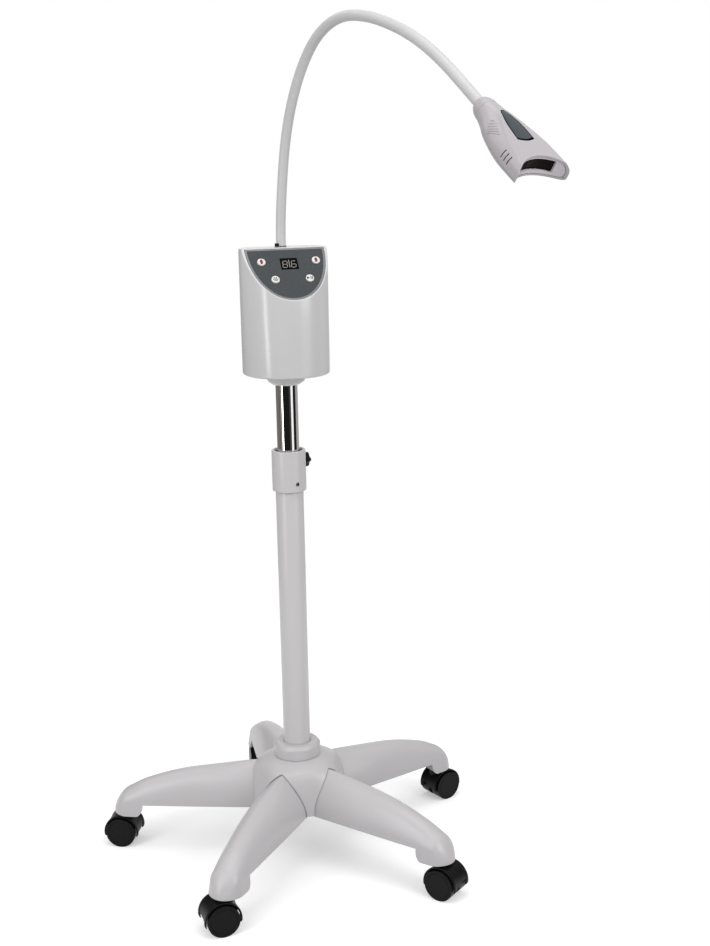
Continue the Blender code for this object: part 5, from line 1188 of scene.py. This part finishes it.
for key, spot in KEYS.items():
    key_place = PANEL_PLACE @ Matrix.Translation((spot.x, spot.y, 0))
    show(key + "_cap", key_form, key_silicone, key + "_body", "button_white", key, place=key_place)
    ink, _, outlines = MARKS[key]
    show(key + "_mark", printed(key + "_mark", outlines, KEY_PROUD, MARK_PROUD), inks[ink], key + "_body",
         "button_white", place=key_place)

# Mains inlet and rocker switch on the back of the box: black moulded bodies that snap into square openings.
# Three flat pins stand in the inlet, and the rocker's face is bent in the middle.
FACE_Y = BOX_PARTING + BOX_BACK_DEPTH
INLET_PLACE = BOX_PLACE @ Matrix.Translation((INLET_X, FACE_Y, INLET_Z)) @ turning(-math.pi / 2, "X")
INLET_LIP = 0.0025
INLET_DEPTH = 0.014
INLET_WALL = 0.002
INLET_BACK = 0.004
INLET_ROUND = 0.002
INLET_RIM = 0.0006
BARREL_ROUND = 0.0005
PLUG_ROUND = 0.0008
PIN_HALF_WIDTH = 0.0007
PIN_HALF_HEIGHT = 0.0018
PIN_LENGTH = 0.009
PIN_ROUND = 0.0003
PINS = ((-0.0055, -0.0015), (0.0, 0.0020), (0.0055, -0.0015))


def square(half_x, half_y, reach):
    return rounded([(-half_x, -half_y), (half_x, -half_y), (half_x, half_y), (-half_x, half_y)], reach, True)


inlet = slab("inlet_form", square(INLET_HALF + INLET_LIP, INLET_TALL + INLET_LIP, INLET_ROUND), SEAM,
             SEAM + INLET_LIP, rim=INLET_RIM)
carve(inlet, slab("inlet_barrel", square(INLET_HALF, INLET_TALL, BARREL_ROUND), -INLET_DEPTH,
                  INLET_LIP / 2 + SEAM), operation="UNION")
pin_low = -INLET_DEPTH + INLET_BACK
carve(inlet, slab("plug_room", square(INLET_HALF - INLET_WALL, INLET_TALL - INLET_WALL, PLUG_ROUND),
                  pin_low, OVERRUN))
show("inlet_body", baked(inlet), black_nylon, "control_box", "black_plastic", "power_inlet",
     place=INLET_PLACE)
for number, (x, y) in enumerate(PINS):
    section = [(x + px, y + py) for px, py in square(PIN_HALF_WIDTH, PIN_HALF_HEIGHT, PIN_ROUND)]
    pin = slab("pin_form", section, pin_low, pin_low + PIN_LENGTH, rim=PIN_ROUND)
    show("inlet_pin_%d" % (number + 1), baked(pin), machined_steel, "control_box", "steel", place=INLET_PLACE)

ROCKER_TILT = math.radians(8.0)
ROCKER_SINK = 0.0045
ROCKER_FACE = 0.0083
ROCKER_STEPS = 32
ROCKER_RIM = 0.0003
rocker_place = (Matrix.Translation(Vector(joints["rocker_tilt"]["pos_m"])) @ turning(math.pi / 2, "Y")
                @ turning(-ROCKER_TILT, "Z"))
wing = ROCKER_SINK + ROCKER_FACE * math.tan(ROCKER_TILT)
rocker_outline = [(ROCKER_RADIUS * math.cos(math.pi * k / ROCKER_STEPS),
                   -ROCKER_RADIUS * math.sin(math.pi * k / ROCKER_STEPS)) for k in range(ROCKER_STEPS + 1)]
rocker_outline += [(-ROCKER_FACE, wing), (0, ROCKER_SINK), (ROCKER_FACE, wing)]
rocker = slab("rocker_form", rocker_outline, -ROCKER_HALF, ROCKER_HALF, rim=ROCKER_RIM)
show("rocker_body", baked(rocker), black_nylon, "rocker", "black_plastic", "power_switch", place=rocker_place)

# Gooseneck: a flexible steel arm inside a smooth grey sheath, which grows out of a gland and a thin black
# ring on the top of the box. The sheath is made in five stretches, each laid along the arm over one of its
# joints.
SHEATH_COLOUR = (0.60, 0.60, 0.60)
HOSE_LENGTH = 0.629
HOSE_NOSE = 0.0045
HOSE_TAIL = 0.012
HOSE_LINKS = 6
HOSE_STEPS = 3
HOSE_AZIMUTH = math.radians(-72.7)
HOSE_TURNS = [math.radians(a) for a in (7.5, 3.0, 9.0, 11.5, 14.5, 25.0, 24.0, 10.5, 6.5, 8.5, 6.5, 1.0)]
HOSE_IN_HEAD = 0.010
HOSE_FINE = 6
HEAD_YAW = math.radians(1.5)
SHEATH_SIDES = 48
SHEATH_GAP = 0.00004
SHEATH_INSET = 0.00025
BOX_TOP = BOX_BOTTOM + BOX_HEIGHT


def hose_path():
    """Points and headings along the arm, in its own upright plane."""
    x, z, heading = 0.0, BOX_TOP, math.pi / 2
    path = [(x, z, heading)]
    step = HOSE_LENGTH / len(HOSE_TURNS) / HOSE_STEPS
    for bend in HOSE_TURNS:
        for _ in range(HOSE_STEPS):
            heading -= bend / HOSE_STEPS / 2
            x += step * math.cos(heading)
            z += step * math.sin(heading)
            heading -= bend / HOSE_STEPS / 2
            path.append((x, z, heading))
    return path


def grow_tree(name, inputs, shape, result):
    """A tree that turns a line of points into the shape that a function makes, in the finish given."""
    tree = bpy.data.node_groups.new(name, "GeometryNodeTree")
    for label, kind in (("Line", "Geometry"), *inputs, ("Finish", "Material")):
        tree.interface.new_socket(label, in_out="INPUT", socket_type="NodeSocket" + kind)
    tree.interface.new_socket(result, in_out="OUTPUT", socket_type="NodeSocketGeometry")
    given = tree.nodes.new("NodeGroupInput").outputs
    realized = add(tree, "GeometryNodeRealizeInstances", {"Geometry": shape(tree, given)})
    painted = add(tree, "GeometryNodeSetMaterial", {"Geometry": realized, "Material": given["Finish"]})
    feed(tree, tree.nodes.new("NodeGroupOutput"), {result: painted})
    return tree


def sheath_shape(tree, given):
    """A round sheath along the line, with its radius and its number of sides as inputs."""
    line = add(tree, "GeometryNodeMeshToCurve", {"Mesh": given["Line"]})
    ring = add(tree, "GeometryNodeCurvePrimitiveCircle", {"Radius": given["Sheath Radius"],
                                                          "Resolution": given["Sides"]})
    return add(tree, "GeometryNodeCurveToMesh", {"Curve": line, "Profile Curve": ring, "Fill Caps": True})


def grown(name, tree, points, **inputs):
    """The mesh that a tree grows along a line of points, with its inputs given by their names."""
    mesh = bpy.data.meshes.new(name)
    mesh.from_pydata(points, [(i, i + 1) for i in range(len(points) - 1)], [])
    obj = placed(name, mesh)
    step = obj.modifiers.new(name, "NODES")
    step.node_group = tree
    sockets = {item.name: item.identifier for item in tree.interface.items_tree if item.in_out == "INPUT"}
    for label, value in inputs.items():
        step[sockets[label.replace("_", " ")]] = value
    made = baked(obj)
    shape = bmesh.new()
    shape.from_mesh(made)
    merged(shape)
    shape.to_mesh(made)
    shape.free()
    return made


path = hose_path()
ARM = COLUMN @ HOSE_FOOT @ turning(HOSE_AZIMUTH, "Z")
end_x, end_z, end_heading = path[-1]
HEAD_PLACE = (ARM @ Matrix.Translation((end_x, 0, end_z)) @ turning(-end_heading, "Y")
              @ Matrix.Translation((HOSE_NOSE, 0, 0)) @ turning(HEAD_YAW, "Z"))
spans = len(path) - 1
across_table, height_table = [[(k / spans, path[k][axis]) for k in range(spans + 1)] for axis in (0, 1)]
fine_steps = spans * HOSE_FINE
fine = [ARM @ Vector((eased(across_table, k / fine_steps), 0, eased(height_table, k / fine_steps)))
        for k in range(fine_steps + 1)]
per_link = fine_steps // HOSE_LINKS
sheath_rubber = surface("sheath_rubber", SHEATH_COLOUR, 0.40, 0.0025, 0.000004, 0.02, cloud=0.06)
sheath = grow_tree("arm_sheath", (("Sheath Radius", "Float"), ("Sides", "Int")), sheath_shape, "Sheath")
for number in range(1, HOSE_LINKS):
    first = 0 if number == 1 else int((number - 0.5) * per_link)
    last = len(fine) - 1 if number == HOSE_LINKS - 1 else int((number + 0.5) * per_link)
    points = list(fine[first:last + 1])
    if number == 1:
        points.insert(0, fine[0] - Vector((0, 0, HOSE_TAIL)))
    else:
        points[0] = points[0] + (points[1] - points[0]).normalized() * SHEATH_GAP
    if number == HOSE_LINKS - 1:
        points += [HEAD_PLACE @ Vector((along, 0, 0)) for along in (0.0, HOSE_IN_HEAD)]
    stretch = grown("sheath_stretch", sheath, points, Sheath_Radius=HOSE_RADIUS - SHEATH_INSET,
                    Sides=SHEATH_SIDES, Finish=sheath_rubber)
    piece = placed("arm_sheath_%d" % number, stretch)
    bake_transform(piece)
    replaced = ["gooseneck_link_%d" % number] + (["gooseneck_link_6"] if number == HOSE_LINKS - 1 else [])
    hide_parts(*replaced)

STUDIO_FACING = turning(CAMERA_TURN, "Z")
RING_REACH = 0.0009
RING_HEIGHT = 0.0007
RING_RIM = 0.0002
TAB_REACH_SHARE = 1.6
TAB_BEARING = math.radians(222.0)
TAB_HEIGHT = 0.0042
TAB_HALF_WIDTH = 0.0032
ring_low = BOX_TOP + SEAM / 3
ring = slab("foot_ring_form", circle(0, 0, HOSE_RADIUS + RING_REACH, MIDDLE_STEPS), ring_low,
            ring_low + RING_HEIGHT, STUDIO_FACING, rim=RING_RIM)
# A small black tab on the ring, set in the camera's frame, stands at the sheath's foot on its front left as
# the camera sees it, and darkens that spot.
tab = block("foot_tab", (HOSE_RADIUS / 2, -TAB_HALF_WIDTH, ring_low),
            (HOSE_RADIUS + RING_REACH * TAB_REACH_SHARE, TAB_HALF_WIDTH, ring_low + TAB_HEIGHT),
            STUDIO_FACING @ turning(TAB_BEARING, "Z"))
carve(ring, tab, operation="UNION")
carve(ring, rod("ring_way", HOSE_RADIUS + SEAM / 3, BOX_TOP + SHORT_OVERRUN, BOX_TOP - SHORT_OVERRUN,
                MIDDLE_STEPS))
show("arm_foot_ring", baked(ring), black_nylon, "control_box", "black_plastic", place=COLUMN @ HOSE_FOOT)
dress("hose_gland", black_nylon)

# Neck collar: a round boss, moulded in the plastic of the head. The arm ends in its bore, and the head
# turns against its flat end.
# The head's shells, ribs and neck boss are the box's pale plastic, given a darker colour than the box:
# painted shade.
HEAD_SHADED_COLOUR = (0.44, 0.418, 0.436)
NECK_START_RADIUS = 0.0092
NECK_END_RADIUS = 0.0135
NECK_LENGTH = 0.014
NECK_BORE_DEPTH = 0.0105
NECK_ROUND = 0.0012
NECK_SHARES = [(0.76, 0.12), (0.93, 0.45), (1.0, 0.80)]
head_plastic = surface("head_plastic", HEAD_SHADED_COLOUR, 0.32, 0.0009, 0.000010, 0.012, cloud=0.05)
neck_bore = HOSE_RADIUS + SEAM / 3
neck_outline = [(neck_bore, 0), (NECK_START_RADIUS, 0)]
neck_outline += [(NECK_END_RADIUS * out, NECK_LENGTH * down) for out, down in NECK_SHARES]
neck_outline += [(NECK_END_RADIUS, NECK_LENGTH), (0, NECK_LENGTH), (0, NECK_BORE_DEPTH + SEAM),
                 (neck_bore, NECK_BORE_DEPTH + SEAM)]
neck = turned("neck_form", rounded(neck_outline[:-2], NECK_ROUND, False, 5) + neck_outline[-2:], closed=True)
show("neck_boss", baked(neck), head_plastic, "arm_6", "shell_white", "neck_collar",
     place=HEAD_PLACE @ turning(math.pi / 2, "Y"))

# Head shells: an upper and a lower moulding, joined in a fine seam along the sides. The top has a flat
# crown between two ridges. The sides are scooped for the fingers, with six slanted ribs and three vent
# slots on each.
HEAD_END = 0.1225
HEAD_LENGTH = HEAD_END - NECK_LENGTH
HEAD_HALF_WIDTH = 0.0355
HEAD_TOP = 0.0155
HEAD_BELLY = 0.0175
HEAD_WALL = 0.002
HEAD_SHARES = [(0.0, 0.39, 0.87, 0.60, 0.80, 0.0, 0.77, 2.0),
               (0.12, 0.49, 0.95, 0.45, 0.88, 0.4, 0.885, 2.3),
               (0.24, 0.64, 1.0, 0.42, 0.96, 0.9, 0.985, 2.6),
               (0.44, 0.82, 0.95, 0.62, 0.94, 0.8, 1.0, 3.0),
               (0.64, 0.93, 0.86, 0.77, 0.92, 0.5, 0.93, 3.8),
               (0.84, 0.985, 0.77, 0.83, 0.90, 0.2, 0.74, 5.0),
               (1.0, 1.0, 0.70, 0.87, 0.88, 0.1, 0.60, 7.0)]
HEAD_HOLLOW_SHARE = 0.5
HEAD_HOLLOW_POWER = 2.2
HEAD_EDGE_POWER = 4.0
HEAD_ROUND_POWER = 1.2
HEAD_SIDE_STEPS = 14
HEAD_CROWN_STEPS = 10
HEAD_BELLY_STEPS = 40
HEAD_RINGS = 46
HEAD_SPLIT = -0.0065
NECK_GAP = 0.0001
MOUTH_RECESS = 0.0175
MOUTH_RADIUS = (HEAD_HALF_WIDTH ** 2 + MOUTH_RECESS ** 2) / (2 * MOUTH_RECESS)
MOUTH_CENTRE = HEAD_END - MOUTH_RECESS + MOUTH_RADIUS
MOUTH_STEPS = 256
VENT_COUNT = 3
VENT_START = 0.0878
VENT_PITCH = 0.006
VENT_WIDTH = 0.0016
VENT_HALF_LENGTH = 0.0045
VENT_RISE = 0.0033
GRIP_COUNT = 6
GRIP_BACK = (0.0392, 0.0513)
GRIP_FRONT = (0.0432, 0.0657)
GRIP_LOW = 6.0
GRIP_HIGH = 8.8
GRIP_BOW = 0.5
GRIP_RADIUS = 0.00075
GRIP_STEPS = 14
GRIP_SIDES = 16
WINDOW_START = 0.032
WINDOW_END = 0.079
WINDOW_TIP_HALF_WIDTH = 0.0045
WINDOW_END_HALF_WIDTH = 0.0115
WINDOW_END_BULGE = 0.003
WINDOW_THICKNESS = 0.0016
WINDOW_RIM = 0.0013
WINDOW_END_RIM = 0.0012
WINDOW_TIP_SHARE = 0.45
WINDOW_STEPS = 24
WINDOW_END_STEPS = 12
RIM_SINK = 0.0002


def side_fall(part, hollow):
    """How far the head's side still stands, from its ridge (1) down to its widest line (0)."""
    full = math.sqrt(1 - part ** HEAD_ROUND_POWER)
    scooped = 1 - (HEAD_HOLLOW_SHARE * (1 - (1 - part) ** HEAD_HOLLOW_POWER)
                   + (1 - HEAD_HOLLOW_SHARE) * part ** HEAD_EDGE_POWER)
    return full + (scooped - full) * hollow


def head_values(share):
    return [eased([(row[0], row[k]) for row in HEAD_SHARES], share) for k in range(1, len(HEAD_SHARES[0]))]


def head_upper_side(share):
    """Points of the upper half section: up the left side to the ridge, and over the crown to the middle."""
    half_share, top_share, ridge_share, ridge_top_share, hollow = head_values(share)[:5]
    half, top = HEAD_HALF_WIDTH * half_share, HEAD_TOP * top_share
    ridge, ridge_top = half * ridge_share, top * ridge_top_share
    side = [(ridge + (half - ridge) * k / HEAD_SIDE_STEPS, ridge_top * side_fall(k / HEAD_SIDE_STEPS, hollow))
            for k in range(HEAD_SIDE_STEPS, 0, -1)]
    crown = [(ridge * k / HEAD_CROWN_STEPS, ridge_top + (top - ridge_top) * (1 - (k / HEAD_CROWN_STEPS) ** 2))
             for k in range(HEAD_CROWN_STEPS, -1, -1)]
    return side + crown


def head_ring(share, inset=0.0, extra=0.0):
    """The head's whole section at a share of its length, drawn in by an inset."""
    values = head_values(share)
    half, top, belly = HEAD_HALF_WIDTH * values[0], HEAD_TOP * values[1], HEAD_BELLY * values[5]
    half_shape = head_upper_side(share)
    upper = half_shape + [(-y, z) for y, z in half_shape[-2::-1]]
    lower = [(half * bowed(math.cos(math.pi * i / HEAD_BELLY_STEPS), 2 / values[6]),
              -belly * bowed(math.sin(math.pi * i / HEAD_BELLY_STEPS), 2 / values[6]))
             for i in range(HEAD_BELLY_STEPS - 1, 0, -1)]
    x = NECK_LENGTH + NECK_GAP + (HEAD_LENGTH - NECK_GAP) * share + extra
    ring = [(x, y * (1 - inset / half), z * (1 - inset / top)) for y, z in upper]
    return ring + [(x, y * (1 - inset / half), z * (1 - inset / belly)) for y, z in lower]


def head_body(name, inset=0.0, first=0.0, from_share=0.0, beyond=0.0, rings=HEAD_RINGS):
    """The head's outer form or a smaller one inside it, as a closed body."""
    shares = [from_share + (1 - from_share) * k / rings for k in range(rings + 1)]
    made = [head_ring(share, inset, first if k == 0 else 0) for k, share in enumerate(shares)]
    if beyond:
        made.append(head_ring(1.0, inset, beyond))
    return working(name, skin(made))


def mouth_space(name, grow):
    """The round hollow in the front of the head that takes the lips."""
    tall = HEAD_BELLY + OVERRUN
    return rod(name, MOUTH_RADIUS + grow, tall, -tall, MOUTH_STEPS, Matrix.Translation((MOUTH_CENTRE, 0, 0)))


def slot_shape(tree, given):
    """A row of upright blocks of the given size for the vent slots, one on each point of the line."""
    spots = add(tree, "GeometryNodeMeshToPoints", {"Mesh": given["Line"]})
    cube = add(tree, "GeometryNodeMeshCube", {"Size": given["Slot Size"]})
    return add(tree, "GeometryNodeInstanceOnPoints", {"Points": spots, "Instance": cube})


def vent_slots():
    wide = 2 * (HEAD_HALF_WIDTH + SHORT_OVERRUN)
    spots = [(VENT_START + VENT_WIDTH / 2 + VENT_PITCH * k, 0, VENT_RISE) for k in range(VENT_COUNT)]
    row = grow_tree("vent_row", (("Slot Size", "Vector"),), slot_shape, "Slots")
    return placed("vent_slots", grown("vent_slots", row, spots, Finish=head_plastic,
                                      Slot_Size=(VENT_WIDTH, wide, 2 * VENT_HALF_LENGTH)))


def grip_ribs():
    """Raised ribs that slant up both scooped sides: round bars half sunk, each longer than the last."""
    ribs = bmesh.new()
    for side in (1, -1):
        for number in range(GRIP_COUNT):
            along = number / (GRIP_COUNT - 1)
            back = GRIP_BACK[0] + (GRIP_BACK[1] - GRIP_BACK[0]) * along
            front = GRIP_FRONT[0] + (GRIP_FRONT[1] - GRIP_FRONT[0]) * along
            low = GRIP_LOW * (1 - along) ** 2
            line = []
            for k in range(GRIP_STEPS + 1):
                t = k / GRIP_STEPS
                x = back + (front - back) * t
                place = low + (GRIP_HIGH - low) * t - GRIP_BOW * math.sin(math.pi * t)
                half_shape = head_upper_side((x - NECK_LENGTH) / HEAD_LENGTH)
                step = max(int(place), 0)
                (near_y, near_z), (far_y, far_z) = half_shape[step:step + 2]
                part = max(place, 0) - step
                line.append((x, side * (near_y + (far_y - near_y) * part), near_z + (far_z - near_z) * part))
            rib = grown("grip_rib", sheath, line, Sheath_Radius=GRIP_RADIUS, Sides=GRIP_SIDES,
                        Finish=head_plastic)
            ribs.from_mesh(rib)
            bpy.data.meshes.remove(rib)
    return working("grip_ribs", ribs)


def window_outline(grow):
    """The tapered window in plan, from its narrow round tip to its curved wide end."""
    tip, end = WINDOW_TIP_HALF_WIDTH + grow, WINDOW_END_HALF_WIDTH + grow
    start, finish = WINDOW_START - grow, WINDOW_END + grow + WINDOW_END_RIM * min(grow / WINDOW_RIM, 0)
    middle = (WINDOW_START + WINDOW_END) / 2
    swell = (tip + end + WINDOW_END_BULGE) / 2
    side = [(start, tip * WINDOW_TIP_SHARE), (WINDOW_START + tip, tip), (middle, swell), (finish, end)]
    steps = [(t, eased(side, t)) for t in
             [start + (finish - start) * k / WINDOW_STEPS for k in range(WINDOW_STEPS + 1)]]
    last = WINDOW_END_STEPS
    bulge = [(finish + WINDOW_END_BULGE * (1 - (k / last) ** 2), -end * k / last)
             for k in range(1 - last, last)]
    return steps + bulge + [(x, -y) for x, y in steps[::-1]]


wide, tall, long = HEAD_HALF_WIDTH + OVERRUN, HEAD_BELLY + OVERRUN, HEAD_END + OVERRUN
upper = head_body("upper_form")
carve(upper, grip_ribs(), operation="UNION")
carve(upper, head_body("upper_hollow", HEAD_WALL, HEAD_WALL, beyond=OVERRUN), mouth_space("upper_mouth", 0),
      block("below_seam", (-OVERRUN, -wide, -tall), (long, wide, HEAD_SPLIT + SEAM / 2)),
      slab("window_opening", window_outline(SEAM), 0, tall), vent_slots())
show("head_top", baked(upper), head_plastic, "head", "shell_white", "head_upper_shell", place=HEAD_PLACE)
lower = head_body("lower_form")
carve(lower, head_body("lower_hollow", HEAD_WALL, HEAD_WALL, beyond=OVERRUN), mouth_space("lower_mouth", 0),
      block("above_seam", (-OVERRUN, -wide, HEAD_SPLIT - SEAM / 2), (long, wide, tall)))
show("head_bottom", baked(lower), head_plastic, "head", "shell_white", "head_lower_shell", place=HEAD_PLACE)

# Head window: a tapered sheet of dark glossy acrylic, set flush in the crown inside a thin black rim. It
# follows the curve of the crown, is 1.6 mm thick, and sits in the opening of the upper shell.
WINDOW_COLOUR = (0.024, 0.034, 0.046)
window_acrylic = dark_window("window_acrylic", WINDOW_COLOUR, 0.08, 0.35)
window = carve(head_body("window_form"), slab("window_plan", window_outline(-WINDOW_RIM), 0, tall),
               operation="INTERSECT")
carve(window, head_body("window_back", WINDOW_THICKNESS, WINDOW_THICKNESS))
show("crown_window", baked(window), window_acrylic, "head", "dark_glass", "head_window", place=HEAD_PLACE)
rim = carve(head_body("rim_form", RIM_SINK), slab("rim_plan", window_outline(0), 0, tall),
            operation="INTERSECT")
carve(rim, head_body("rim_back", WINDOW_THICKNESS, WINDOW_THICKNESS),
      slab("rim_opening", window_outline(-WINDOW_RIM + SEAM / 3), 0, tall))
rim_black = surface("rim_black", NYLON_COLOUR, 0.6, 0.0006, 0.00001, 0.15, shine=0.0)
show("crown_window_rim", baked(rim), rim_black, "head", "dark_glass", place=HEAD_PLACE)

# Mouth frame, lens and light source: a white curved frame closes the front of the head round its light
# opening. A dark lens bends along behind it, and the light source with its heat sink sits behind that.
FRAME_SET_BACK = 0.0008
FRAME_WALL = 0.0020
FRAME_DEPTH = 0.034
FRAME_RINGS = 20
APERTURE_HALF_WIDTH = 0.0235
APERTURE_HALF_HEIGHT = 0.0069
APERTURE_RISE = 0.0003
APERTURE_CORNER = 0.0022
LENS_THICKNESS = 0.002
LENS_MARGIN = 0.0015
LENS_COLOUR = (0.006, 0.003, 0.0035)
FRAME_COLOUR = (0.62, 0.60, 0.615)


def opening(name, grow, back, front):
    """The light opening with round corners, looking out along the head."""
    plan = square(APERTURE_HALF_WIDTH + grow, APERTURE_HALF_HEIGHT + grow, APERTURE_CORNER)
    return slab(name, [(y, z + APERTURE_RISE) for y, z in plan], back, front,
                Matrix(((0, 0, 1, 0), (1, 0, 0, 0), (0, 1, 0, 0), (0, 0, 0, 1))))


frame_start = (HEAD_END - FRAME_DEPTH - NECK_LENGTH) / HEAD_LENGTH
mouth_frame = head_body("frame_form", HEAD_WALL + SEAM, from_share=frame_start, rings=FRAME_RINGS)
carve(mouth_frame, mouth_space("frame_front", FRAME_SET_BACK))
carve(mouth_frame, mouth_space("frame_back", FRAME_SET_BACK + FRAME_WALL), operation="INTERSECT")
carve(mouth_frame, opening("frame_opening", 0, 0, long))
frame_plastic = surface("frame_plastic", FRAME_COLOUR, 0.28, 0.0008, 0.000008, 0.01)
show("mouth_surround", baked(mouth_frame), frame_plastic, "head", "shell_white", "mouth_frame",
     place=HEAD_PLACE)
lens_front = FRAME_SET_BACK + FRAME_WALL + SEAM
lens = opening("lens_form", LENS_MARGIN, HEAD_END - FRAME_DEPTH, HEAD_END)
carve(lens, mouth_space("lens_front", lens_front))
carve(lens, mouth_space("lens_back", lens_front + LENS_THICKNESS), operation="INTERSECT")
lens_glass = dark_window("lens_glass", LENS_COLOUR, 0.10, 0.04)
show("mouth_lens", baked(lens), lens_glass, "head", "amber_filter", "light_filter", place=HEAD_PLACE)
dress("led_module", cast_aluminium)
